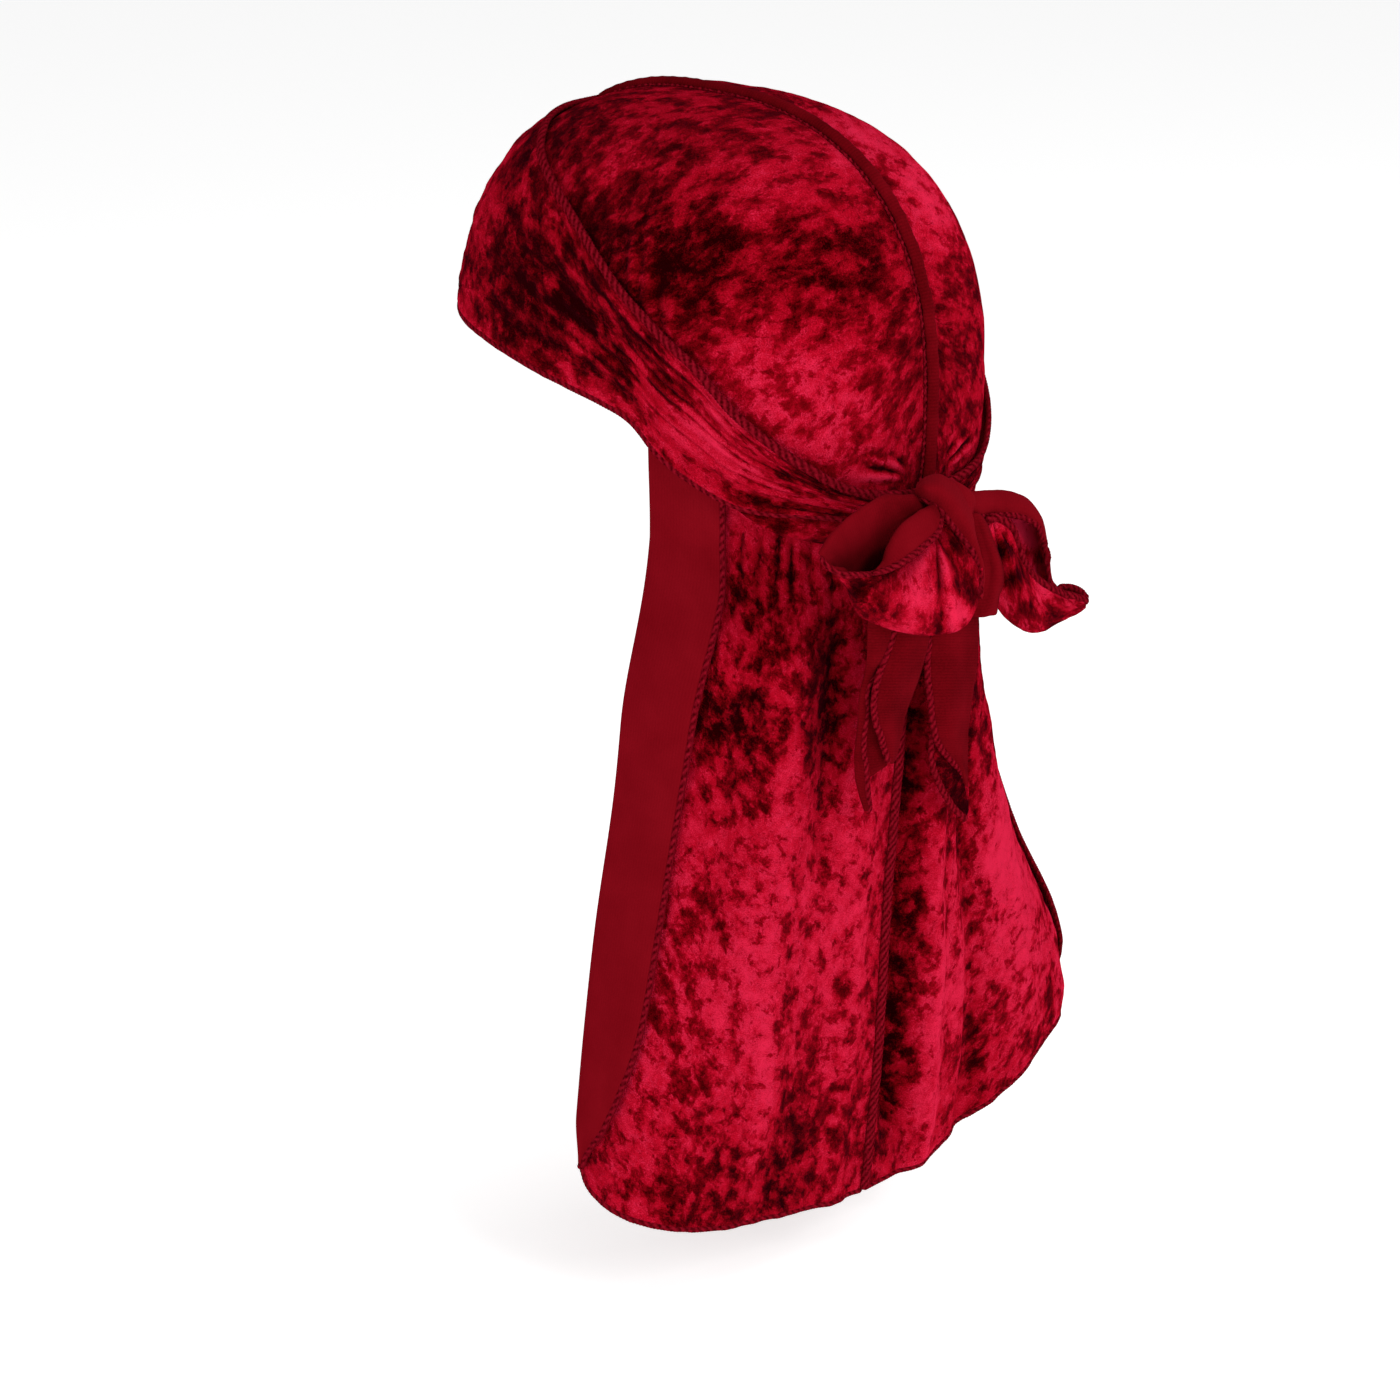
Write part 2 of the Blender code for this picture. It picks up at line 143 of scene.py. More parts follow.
def gridOf(countU, countV):
    return np.meshgrid(np.linspace(0, 1, countU), np.linspace(0, 1, countV), indexing="ij")


def gridNormals(points):
    alongU = np.gradient(points, axis=0)
    alongV = np.gradient(points, axis=1)
    return unit(np.cross(alongU, alongV))


def clothLengths(points):
    # how far each grid point lies along the cloth both ways, in metres
    def run(p):
        steps = np.linalg.norm(np.diff(p, axis=0), axis=-1).mean(1)
        return np.concatenate([[0.0], np.cumsum(steps)])

    a, b = run(points), run(points.transpose(1, 0, 2))
    return np.meshgrid(a, b, indexing="ij")


# a mesh from plain lists, with the cloth lengths as its uv and the painted light and shade as an
# attribute
def meshOf(name, verts, faces, materials, faceMaterial, uv=None, nap=None):
    mesh = bpy.data.meshes.new(name)
    mesh.vertices.add(len(verts))
    mesh.vertices.foreach_set("co", np.asarray(verts, np.float32).ravel())
    faces = np.asarray(faces, np.int32)
    mesh.loops.add(faces.size)
    mesh.loops.foreach_set("vertex_index", faces.ravel())
    mesh.polygons.add(len(faces))
    mesh.polygons.foreach_set("loop_start", np.arange(0, faces.size, 4, dtype=np.int32))
    mesh.polygons.foreach_set("material_index", np.asarray(faceMaterial, np.int32))
    mesh.update(calc_edges=True)
    mesh.shade_smooth()
    if uv is not None:
        layer = mesh.uv_layers.new(name="cloth")
        layer.data.foreach_set("uv", np.asarray(uv, np.float32)[faces.ravel()].ravel())
    if nap is not None:
        layer = mesh.attributes.new("nap", "FLOAT", "POINT")
        layer.data.foreach_set("value", np.asarray(nap, np.float32))
    for material in materials:
        mesh.materials.append(material)
    mesh.validate()
    obj = bpy.data.objects.new(name, mesh)
    bpy.context.scene.collection.objects.link(obj)
    return obj


def quads(countU, countV, flip=False):
    i = np.arange(countU * countV).reshape(countU, countV)
    f = np.stack([i[:-1, :-1], i[1:, :-1], i[1:, 1:], i[:-1, 1:]], -1).reshape(-1, 4)
    return f[:, ::-1] if flip else f


rimWidth = 0.0015  # over this width the cloth thins towards its edge


def sheetShell(points, thickness, nap, uvShift=0.0, taper=0.35, reversePaintedShading=0.0, stretch=1.0):
    # a closed cloth shell round a grid of middle points: face side, reverse side and edge
    nu, nv = points.shape[:2]
    normals = gridNormals(points)
    a, b = clothLengths(points)
    rim = np.minimum(np.minimum(a, a.max() - a), np.minimum(b, b.max() - b))
    half = thickness / 2 * (taper + (1 - taper) * ease(rim / rimWidth))[..., None]
    sides = [(points + normals * half).reshape(-1, 3), (points - normals * half).reshape(-1, 3)]
    count = nu * nv
    i = np.arange(count).reshape(nu, nv)
    edge = np.concatenate([i[:, 0], i[-1, 1:], i[-2::-1, -1], i[0, -2:0:-1]])
    nextEdge = np.roll(edge, -1)
    rimFaces = np.stack([edge, edge + count, nextEdge + count, nextEdge], -1)
    faces = np.concatenate([quads(nu, nv), quads(nu, nv, True) + count, rimFaces])
    index = np.concatenate(
        [np.zeros((nu - 1) * (nv - 1)), np.ones((nu - 1) * (nv - 1)), np.ones(len(rimFaces))]
    )
    uv = np.stack([a / stretch + uvShift, b + uvShift], -1).reshape(-1, 2)
    return {
        "verts": np.concatenate(sides),
        "faces": faces,
        "index": index,
        "uv": np.concatenate([uv, uv]),
        "nap": np.concatenate([nap.ravel(), nap.ravel() * 0 + reversePaintedShading]),
    }


def joined(shells):
    start, merged = 0, {"verts": [], "faces": [], "index": [], "uv": [], "nap": []}
    for shell in shells:
        merged["verts"].append(shell["verts"])
        merged["faces"].append(shell["faces"] + start)
        for key in ("index", "uv", "nap"):
            merged[key].append(shell[key])
        start += len(shell["verts"])
    return {key: np.concatenate(value) for key, value in merged.items()}


def clothPiece(name, shells, materials):
    whole = joined(shells)
    return meshOf(
        name, whole["verts"], whole["faces"], materials, whole["index"], whole["uv"], whole["nap"]
    )


def resample(path, step):
    # a polyline walked in even steps
    lengths = np.concatenate([[0.0], np.cumsum(np.linalg.norm(np.diff(path, axis=0), axis=1))])
    count = max(int(lengths[-1] / step), 8)
    places = np.linspace(0, lengths[-1], count)
    return places, lambda values: np.stack(
        [np.interp(places, lengths, values[:, k]) for k in range(values.shape[1])], 1
    )


# how the thread loops vary along a sewn edge
stitching = {
    "flatUnder": -0.4,
    "uneven": 0.25,
    "endLength": 0.0012,
    "sway": 0.12,
    "swayLength": 0.004,
}


def overlockShell(path, out, settings, seed=0):
    # a thick sewn edge: thread loops lie slanted over a flattened roll
    places, walk = resample(path, settings["step"])
    centre = walk(path)
    along = unit(np.gradient(centre, axis=0))
    lift = walk(out)
    lift = unit(lift - along * (lift * along).sum(1, keepdims=True))
    side = np.cross(along, lift)
    sides = settings["sides"]
    angle = np.linspace(0, 2 * math.pi, sides, endpoint=False)
    s, turn = np.meshgrid(places, angle, indexing="ij")
    wave = np.cos(2 * math.pi * (s / settings["stitch"]) + settings["slant"] * turn)
    wobble = lumps(s, turn * 0.001, settings["stitch"] * 1.3, 0.002, seed + 5)
    relief = 1 + settings["relief"] * (
        np.maximum(wave, stitching["flatUnder"]) + stitching["uneven"] * wobble
    )
    fade = np.minimum(np.minimum(s, places[-1] - s) / stitching["endLength"], 1.0) ** 0.5
    across = np.cos(turn) * settings["halfWidth"] * relief * fade
    up = np.sin(turn) * settings["halfHeight"] * relief * fade
    sway = lumps(s, s * 0, stitching["swayLength"], 1.0, seed + 9)
    across = across + settings["halfWidth"] * stitching["sway"] * sway
    points = (
        centre[:, None]
        + side[:, None] * across[..., None]
        + lift[:, None] * (up + settings["raise"])[..., None]
    )
    count = len(places)
    i = np.arange(count * sides).reshape(count, sides)
    j = np.roll(i, -1, 1)
    faces = np.stack([i[:-1], i[1:], j[1:], j[:-1]], -1).reshape(-1, 4)
    ends = []
    for ring, flip in ((i[0], False), (i[-1], True)):
        for k in range(0, sides - 2, 2):
            cap = [ring[0], ring[k + 1], ring[k + 2], ring[(k + 3) % sides]]
            ends.append(cap[::-1] if flip else cap)
    faces = np.concatenate([faces, np.array(ends)])
    uv = np.stack([s, turn * settings["halfWidth"]], -1).reshape(-1, 2)
    return {
        "verts": points.reshape(-1, 3),
        "faces": faces,
        "index": np.full(len(faces), 2),
        "uv": uv,
        "nap": np.zeros(count * sides),
    }


def newGroup(name, inputs, outputs):
    group = bpy.data.node_groups.new(name, "ShaderNodeTree")
    for label, kind, value in inputs:
        socket = group.interface.new_socket(name=label, in_out="INPUT", socket_type=kind)
        if value is not None:
            socket.default_value = value
    for label, kind in outputs:
        group.interface.new_socket(name=label, in_out="OUTPUT", socket_type=kind)
    return group, group.nodes.new("NodeGroupInput"), group.nodes.new("NodeGroupOutput")


def addNode(tree, kind, settings=None, **links):
    node = tree.nodes.new(kind)
    for key, value in (settings or {}).items():
        if isinstance(key, int) or key in node.inputs:
            node.inputs[key].default_value = value
        else:
            setattr(node, key, value)
    for key, source in links.items():
        target = int(key[1:]) if key[0] == "i" and key[1:].isdigit() else key.replace("_", " ")
        tree.links.new(source, node.inputs[target])
    return node


def mathNode(tree, operation, first, second):
    node = tree.nodes.new("ShaderNodeMath")
    node.operation = operation
    for slot, value in enumerate((first, second)):
        if isinstance(value, (int, float)):
            node.inputs[slot].default_value = value
        else:
            tree.links.new(value, node.inputs[slot])
    return node.outputs[0]


def plus(tree, *parts):
    value = parts[0]
    for part in parts[1:]:
        value = mathNode(tree, "ADD", value, part)
    return value


def times(tree, first, second):
    return mathNode(tree, "MULTIPLY", first, second)


def ramp(tree, source, stops):
    node = tree.nodes.new("ShaderNodeValToRGB")
    elements = node.color_ramp.elements
    while len(elements) > 1:
        elements.remove(elements[-1])
    for k, (place, colour) in enumerate(stops):
        element = elements[0] if k == 0 else elements.new(place)
        element.position = place
        element.color = (*colour, 1.0)
    tree.links.new(source, node.inputs[0])
    return node.outputs[0]


velvetLook = {
    # how many lumps of each kind to a metre
    "patch": 115.0,
    "cloud": 24.0,
    "fleck": 200.0,
    "fibre": 900.0,
    "mottle": 190.0,
    "spark": 2300.0,
    # first and finer swirls that bend the patches: how many to a metre, how far in metres
    "swirls": ((80.0, 0.0035), (340.0, 0.0017)),
    # how much the broad clouds and the painted light and shade turn a patch
    "cloudTurn": 0.45,
    "paintedShadingTurn": 0.35,
    # where a patch and a fleck go from dark to light
    "raisedRange": (0.39, 0.56),
    "standingRange": (0.37, 0.48),
    # a thin painted highlight round each fleck: where it lies and how wide
    "rimHighlightAt": 0.505,
    "rimHighlightWidth": 0.035,
    # how much light each of them adds
    "light": {
        "raised": 0.22,
        "standing": 0.12,
        "both": 0.20,
        "lean": 0.75,
        "mottle": 0.60,
        "fibre": 0.46,
        "spark": 0.80,
        "rimHighlight": 0.15,
        "nap": 0.9,
    },
    "usual": 0.36,
    "level": 0.52,
    "gain": 0.9,
    "deepest": (0.014, 0.0, 0.0002),
    "deep": (0.046, 0.0001, 0.0008),
    "dark": (0.085, 0.0002, 0.0016),
    "mid": (0.27, 0.0012, 0.0060),
    "bright": (0.50, 0.0030, 0.0180),
    "highlight": (0.78, 0.018, 0.066),
}
jerseyLook = {
    "deep": (0.060, 0.0006, 0.0015),
    "shade": (0.150, 0.0018, 0.0050),
    "light": (0.215, 0.0036, 0.0090),
    "rib": 1500.0,
}
threadLook = {"shade": (0.045, 0.0002, 0.0011), "light": (0.25, 0.0045, 0.014)}


def crushedPileGroup():
    # pile pressed in ragged patches: each patch leans its own way, and the light and shade it takes
    # are painted into its colour
    group, given, made = newGroup(
        "crushedPile",
        [
            ("Cloth", "NodeSocketVector", None),
            ("Nap", "NodeSocketFloat", 0.0),
            ("Shift", "NodeSocketFloat", 0.0),
            ("Crush", "NodeSocketFloat", 1.0),
        ],
        [
            ("Colour", "NodeSocketColor"),
            ("Height", "NodeSocketFloat"),
            ("Roughness", "NodeSocketFloat"),
        ],
    )
    cloth = given.outputs["Cloth"]
    shift = addNode(group, "ShaderNodeCombineXYZ")
    group.links.new(given.outputs["Shift"], shift.inputs["Z"])
    base = addNode(
        group, "ShaderNodeVectorMath", {"operation": "ADD"}, i0=cloth, i1=shift.outputs[0]
    ).outputs[0]

    def noiseOf(vector, scale, detail, roughness, stretch=None):
        if stretch:
            slanted = {"Scale": stretch, "Rotation": (0, 0, 0.35)}
            vector = addNode(group, "ShaderNodeMapping", slanted, Vector=vector).outputs[0]
        values = {"Scale": scale, "Detail": detail, "Roughness": roughness}
        return addNode(group, "ShaderNodeTexNoise", values, Vector=vector)

    def bentBy(vector, scale, amount):
        swirl = noiseOf(vector, scale, 3.0, 0.6).outputs["Color"]
        half = {"operation": "SUBTRACT", 1: (0.5, 0.5, 0.5)}
        centred = addNode(group, "ShaderNodeVectorMath", half, i0=swirl).outputs[0]
        size = {"operation": "SCALE", "Scale": amount}
        bend = addNode(group, "ShaderNodeVectorMath", size, i0=centred).outputs[0]
        added = {"operation": "ADD"}
        return addNode(group, "ShaderNodeVectorMath", added, i0=vector, i1=bend).outputs[0]

    def centredTimes(source, amount):
        return times(group, mathNode(group, "SUBTRACT", source, 0.5), amount)

    def mapped(value, settings):
        return addNode(group, "ShaderNodeMapRange", settings, Value=value).outputs[0]

    def stepped(value, ends):
        smooth = {"From Min": ends[0], "From Max": ends[1], "interpolation_type": "SMOOTHSTEP"}
        return mapped(value, smooth)

    look, light = velvetLook, velvetLook["light"]
    nap = given.outputs["Nap"]
    pile = base
    for scale, amount in look["swirls"]:
        pile = bentBy(pile, scale, amount)
    patch = noiseOf(pile, look["patch"], 7.0, 0.66, (1.15, 1.0, 1.0)).outputs[0]
    fleck = noiseOf(pile, look["fleck"], 6.0, 0.66, (1.1, 1.0, 1.0)).outputs[0]
    cloud = noiseOf(base, look["cloud"], 3.0, 0.5).outputs[0]
    fibre = noiseOf(pile, look["fibre"], 3.0, 0.7, (1.0, 2.6, 1.0)).outputs[0]
    mottle = noiseOf(pile, look["mottle"], 5.0, 0.68).outputs[0]
    spark = noiseOf(base, look["spark"], 2.0, 0.6).outputs[0]
    # painted light and shade turns patches light or dark
    paintedShadingTurn = times(group, nap, look["paintedShadingTurn"])
    lean = plus(group, patch, centredTimes(cloud, look["cloudTurn"]), paintedShadingTurn)
    raised = stepped(lean, look["raisedRange"])
    nubs = plus(group, fleck, centredTimes(lean, 0.5))
    standing = stepped(nubs, look["standingRange"])  # 0 in the dark flecks
    # painted highlight: a thin bright rim round each fleck
    away = mathNode(group, "ABSOLUTE", mathNode(group, "SUBTRACT", nubs, look["rimHighlightAt"]), 0.0)
    rimHighlightEnds = {"From Max": look["rimHighlightWidth"], "To Min": light["rimHighlight"], "To Max": 0.0}
    crushed = plus(
        group,
        times(group, raised, light["raised"]),
        times(group, standing, light["standing"]),
        times(group, mathNode(group, "MINIMUM", raised, standing), light["both"]),
        centredTimes(lean, light["lean"]),
        centredTimes(mottle, light["mottle"]),
        centredTimes(fibre, light["fibre"]),
        centredTimes(spark, light["spark"]),
        mapped(away, rimHighlightEnds),
        -look["usual"],
    )
    # what is darker than usual is held back where the pile is less crushed, then painted light and
    # shade is added
    sheen = plus(
        group,
        times(group, mathNode(group, "MINIMUM", crushed, 0.0), given.outputs["Crush"]),
        mathNode(group, "MAXIMUM", crushed, 0.0),
        times(group, nap, light["nap"]),
        look["level"],
    )
    sheen = times(group, sheen, look["gain"])
    places = (0.0, 0.10, 0.20, 0.51, 0.75, 1.0)
    tones = ("deepest", "deep", "dark", "mid", "bright", "highlight")
    colour = ramp(group, sheen, [(place, look[tone]) for place, tone in zip(places, tones)])
    group.links.new(colour, made.inputs["Colour"])
    group.links.new(sheen, made.inputs["Height"])
    roughness = mapped(sheen, {"From Min": 0.2, "From Max": 0.9, "To Min": 0.65, "To Max": 0.40})
    group.links.new(roughness, made.inputs["Roughness"])
    return group


def jerseyGroup():
    # the smooth knit reverse: fine ribs along the cloth and faint cloudy tone, with painted light
    # and shade added
    group, given, made = newGroup(
        "jerseyKnit",
        [("Cloth", "NodeSocketVector", None), ("Nap", "NodeSocketFloat", 0.0)],
        [("Colour", "NodeSocketColor"), ("Height", "NodeSocketFloat")],
    )
    cloth = given.outputs["Cloth"]
    ribs = addNode(
        group,
        "ShaderNodeTexWave",
        {"Scale": jerseyLook["rib"] / 6.28, "Distortion": 1.2, "Detail": 2.0, "Detail Scale": 1.4},
        Vector=cloth,
    )
    cloud = addNode(group, "ShaderNodeTexNoise", {"Scale": 55.0, "Detail": 5.0}, Vector=cloth)
    grain = addNode(group, "ShaderNodeTexNoise", {"Scale": 1400.0, "Detail": 2.0}, Vector=cloth)
    mixed = plus(
        group,
        times(group, cloud.outputs[0], 0.6),
        times(group, ribs.outputs["Fac"], 0.08),
        times(group, grain.outputs[0], 0.34),
        given.outputs["Nap"],
    )
    stops = [(0.0, jerseyLook["deep"]), (0.35, jerseyLook["shade"]), (0.85, jerseyLook["light"])]
    colour = ramp(group, mixed, stops)
    group.links.new(colour, made.inputs["Colour"])
    relief = plus(group, times(group, ribs.outputs["Fac"], 0.4), grain.outputs[0])
    group.links.new(relief, made.inputs["Height"])
    return group


def threadGroup():
    # twisted sewing thread: light and dark flecks along each stitch
    group, given, made = newGroup(
        "sewnThread",
        [("Cloth", "NodeSocketVector", None)],
        [("Colour", "NodeSocketColor"), ("Height", "NodeSocketFloat")],
    )
    fleck = addNode(
        group, "ShaderNodeTexNoise", {"Scale": 900.0, "Detail": 3.0}, Vector=given.outputs["Cloth"]
    )
    twist = addNode(
        group,
        "ShaderNodeTexWave",
        {"Scale": 180.0, "Distortion": 3.0, "bands_direction": "DIAGONAL"},
        Vector=given.outputs["Cloth"],
    )
    mixed = plus(
        group, times(group, fleck.outputs[0], 0.75), times(group, twist.outputs["Fac"], 0.25)
    )
    colour = ramp(group, mixed, [(0.3, threadLook["shade"]), (0.75, threadLook["light"])])
    group.links.new(colour, made.inputs["Colour"])
    group.links.new(mixed, made.inputs["Height"])
    return group


groups = {"pile": crushedPileGroup(), "jersey": jerseyGroup(), "thread": threadGroup()}


def material(name, group, bump, shader, shift=None, crush=1.0):
    mat = bpy.data.materials.new(name)
    mat.use_nodes = True
    tree = mat.node_tree
    principled = tree.nodes["Principled BSDF"]
    for key, value in shader.items():
        principled.inputs[key].default_value = value
    cloth = tree.nodes.new("ShaderNodeUVMap")
    cloth.uv_map = "cloth"
    effect = tree.nodes.new("ShaderNodeGroup")
    effect.node_tree = groups[group]
    tree.links.new(cloth.outputs[0], effect.inputs["Cloth"])
    # the painted light and shade comes from a mesh attribute
    if "Nap" in effect.inputs:
        nap = tree.nodes.new("ShaderNodeAttribute")
        nap.attribute_name = "nap"
        tree.links.new(nap.outputs["Fac"], effect.inputs["Nap"])
    if shift is not None:
        effect.inputs["Shift"].default_value = shift
        effect.inputs["Crush"].default_value = crush
        tree.links.new(effect.outputs["Roughness"], principled.inputs["Roughness"])
    relief = tree.nodes.new("ShaderNodeBump")
    relief.inputs["Strength"].default_value = bump[0]
    relief.inputs["Distance"].default_value = bump[1]
    tree.links.new(effect.outputs["Height"], relief.inputs["Height"])
    tree.links.new(relief.outputs[0], principled.inputs["Normal"])
    tree.links.new(effect.outputs["Colour"], principled.inputs["Base Color"])
    return mat


velvetShader = {
    "Specular IOR Level": 0.0,
    "Sheen Weight": 0.06,
    "Sheen Roughness": 0.35,
    "Sheen Tint": (1.0, 0.06, 0.20, 1.0),
}
velvets = {
    part: material(f"velvet{part}", "pile", (0.9, 0.0013), velvetShader, shift, crush)
    for part, shift, crush in (
        ("Crown", 0.0, 0.78),
        ("Band", 0.37, 0.90),
        ("Cape", 0.81, 1.0),
        ("Bow", 1.23, 0.72),
    )
}
jersey = material(
    "jerseyReverse",
    "jersey",
    (0.14, 0.0002),
    {
        "Roughness": 0.85,
        "Specular IOR Level": 0.0,
        "Sheen Weight": 0.03,
        "Sheen Roughness": 0.5,
        "Sheen Tint": (1.0, 0.10, 0.18, 1.0),
    },
)
thread = material(
    "overlockThread",
    "thread",
    (0.5, 0.0003),
    {"Roughness": 0.85, "Specular IOR Level": 0.0},
)
print("materials made")


# places painted lighter or darker to stand for how the light falls on the pile: painted light and
# shade
paintedLightZones = [
    # middle x, y, z, reach, lightness
    (0.070, -0.030, 0.060, 0.050, -0.10),
    (0.058, 0.005, 0.087, 0.016, 0.14),
    (0.066, -0.020, 0.080, 0.010, 0.12),
    (0.070, 0.030, 0.055, 0.022, -0.16),
    (0.062, 0.062, 0.052, 0.022, -0.14),
    (0.042, 0.092, 0.054, 0.022, -0.16),
    (0.018, 0.100, 0.060, 0.018, -0.10),
    (0.046, 0.069, 0.080, 0.014, 0.14),
    (0.064, 0.082, 0.012, 0.028, 0.20),
    (0.040, 0.105, 0.003, 0.026, 0.18),
    (-0.022, 0.085, 0.075, 0.040, 0.20),
    (-0.012, 0.062, 0.092, 0.022, 0.16),
    (-0.026, 0.086, 0.066, 0.016, 0.16),
    (-0.030, 0.108, 0.030, 0.022, -0.08),
    (0.074, 0.062, -0.004, 0.022, 0.10),
    (0.059, 0.091, -0.027, 0.024, 0.07),
    (0.059, 0.086, -0.066, 0.022, -0.10),
    (0.070, 0.082, -0.115, 0.014, -0.14),
    (0.037, 0.096, -0.120, 0.016, -0.20),
    (0.061, 0.094, -0.185, 0.045, 0.13),
    (0.089, 0.079, -0.223, 0.040, 0.12),
    (0.057, 0.092, -0.262, 0.045, 0.10),
    (0.050, 0.086, -0.308, 0.020, -0.16),
    (-0.073, 0.093, -0.201, 0.040, 0.24),
    (-0.103, 0.091, -0.255, 0.040, 0.20),
    (-0.045, 0.090, -0.250, 0.030, 0.12),
]


def paintedLightAt(points):
    # sum of the zones' painted light and shade at each point
    total = np.zeros(points.shape[:-1])
    for x, y, z, reach, lightness in paintedLightZones:
        away = np.linalg.norm(points - np.array([x, y, z]), axis=-1)
        total += lightness * np.exp(-((away / reach) ** 2))
    return total


# the wide wrap round the brow
band = {
    "cells": (421, 53),
    "cloth": 0.0014,
    "lift": 0.0028,
    "endTurn": 176,
    "crease": 0.0013,
    "fineCrease": 0.0011,
    "uneven": 0.0005,
    "crush": 0.00025,
    "leastLift": 0.0021,
    # rough length and width of the wrap, for its wrinkles
    "length": 0.56,
    "width": 0.07,
    # painted shade over the whole wrap
    "lean": -0.01,
    # turn from the front, upper and lower edge as shares of the crown's rise
    "edges": (
        (0, 0.880, 0.195),
        (25, 0.875, 0.180),
        (45, 0.840, 0.155),
        (58, 0.785, 0.130),
        (71, 0.720, 0.095),
        (84, 0.645, 0.055),
        (95, 0.560, 0.025),
        (105, 0.460, -0.005),
        (115, 0.355, -0.060),
        (123, 0.265, -0.175),
        (131, 0.170, -0.255),
        (139, 0.020, -0.320),
        (146, -0.085, -0.345),
        (152, -0.165, -0.350),
        (161, -0.265, -0.375),
        (172, -0.310, -0.430),
        (180, -0.320, -0.440),
    ),
    # share of the way down at the front and at the knot, width, depth
    "creases": (
        (0.50, 0.22, 0.10, 1.0),
        (0.66, 0.50, 0.09, 1.0),
        (0.82, 0.76, 0.08, 0.8),
    ),
    # finer creases that start part way: the same, then where they start
    "fineCreases": (
        (0.30, 0.10, 0.022, 0.55, 0.55),
        (0.42, 0.34, 0.020, 0.65, 0.35),
        (0.58, 0.40, 0.026, 0.75, 0.45),
        (0.72, 0.62, 0.022, 0.60, 0.50),
        (0.88, 0.90, 0.030, 0.45, 0.60),
    ),
}


def bandEdges(turn):
    edges = rowsAt(band["edges"], np.abs(turn))
    return edges[..., 1] * head["rise"], edges[..., 2] * head["rise"]


def bandPoints():
    u, v = gridOf(*band["cells"])
    turn = band["endTurn"] * (1 - 2 * u)
    upper, lower = bandEdges(turn)
    toKnot = np.abs(turn) / band["endTurn"]
    crease = sum(
        depth * bell(v, front + (knot - front) * toKnot, width)
        for front, knot, width, depth in band["creases"]
    )
    lift = band["lift"] + band["crease"] * (0.9 - crease) * ease(toKnot * 2)
    a, b = u * band["length"], v * band["width"]
    wander = 0.03 * lumps(a, b * 0, 0.03, 1.0, 3)
    fine = sum(
        depth
        * bell(v, front + (knot - front) * toKnot + wander, width)
        * ease((toKnot - start) / 0.15)
        for front, knot, width, depth, start in band["fineCreases"]
    )
    inside = ease(v / 0.06) * ease((1 - v) / 0.06)
    lift = lift - band["fineCrease"] * fine * inside
    lift = lift + band["uneven"] * inside * rough(a, b, 0.010, 21, 3, 3.0)
    lift = lift + band["crush"] * inside * rough(a, b, 0.0035, 31, 2, 2.0)
    lift = np.maximum(lift, band["leastLift"])
    p = headPoint(np.abs(turn), upper + (lower - upper) * v, lift)
    p[..., 0] = np.copysign(p[..., 0], turn)
    paintedStreaks = lumps(a, b + 0.1 * wander, 0.045, 0.0032, 91) + lumps(a, b, 0.09, 0.006, 92)
    # painted shade darkens the creases, and painted streaks of light and shade run towards the knot
    nap = -0.20 * fine + (0.12 * paintedStreaks - 0.10 * crease) * ease(toKnot * 2)
    return p, nap


crown = {
    "cells": (235, 121),
    "cloth": 0.0012,
    "startAngle": 130,
    "endAngle": -26,
    "seamGap": 0.0022,
    # painted shade over the whole crown
    "lean": -0.055,
    "nape": 0.003,
    "napeHeight": 0.011,
    "napeClearance": 0.002,
    "swell": 0.0005,
    "crush": 0.00022,
    "pucker": 0.0011,
    # along the panel, turn from the front in degrees, height as a share of the crown's rise
    "edge": (
        (0.00, 14, 0.81),
        (0.12, 40, 0.76),
        (0.25, 60, 0.69),
        (0.37, 80, 0.58),
        (0.48, 98, 0.43),
        (0.58, 113, 0.28),
        (0.67, 124, 0.12),
        (0.73, 131, -0.08),
        (0.78, 136, -0.29),
        (0.84, 145, -0.40),
        (0.90, 156, -0.47),
        (0.95, 167, -0.51),
        (1.00, 178, -0.52),
    ),
    # folds pulled up from the wrap: turn, width in degrees, height they reach, rise
    "pulls": ((113, 1.3, 0.040, 0.0016), (118, 1.5, 0.044, 0.0018), (124, 1.6, 0.034, 0.0014)),
    "knotAt": (0.0, 0.114, -0.030),
    # puckers beside the knot: degrees above level, width in degrees, reach, rise
    "puckers": (
        (7, 3.2, 0.042, 0.7),
        (15, 3.0, 0.040, -0.9),
        (23, 3.2, 0.036, 0.7),
        (32, 3.4, 0.030, -0.7),
        (43, 3.6, 0.028, 0.5),
        (60, 4.0, 0.026, -0.4),
        (77, 4.0, 0.020, 0.4),
    ),
}


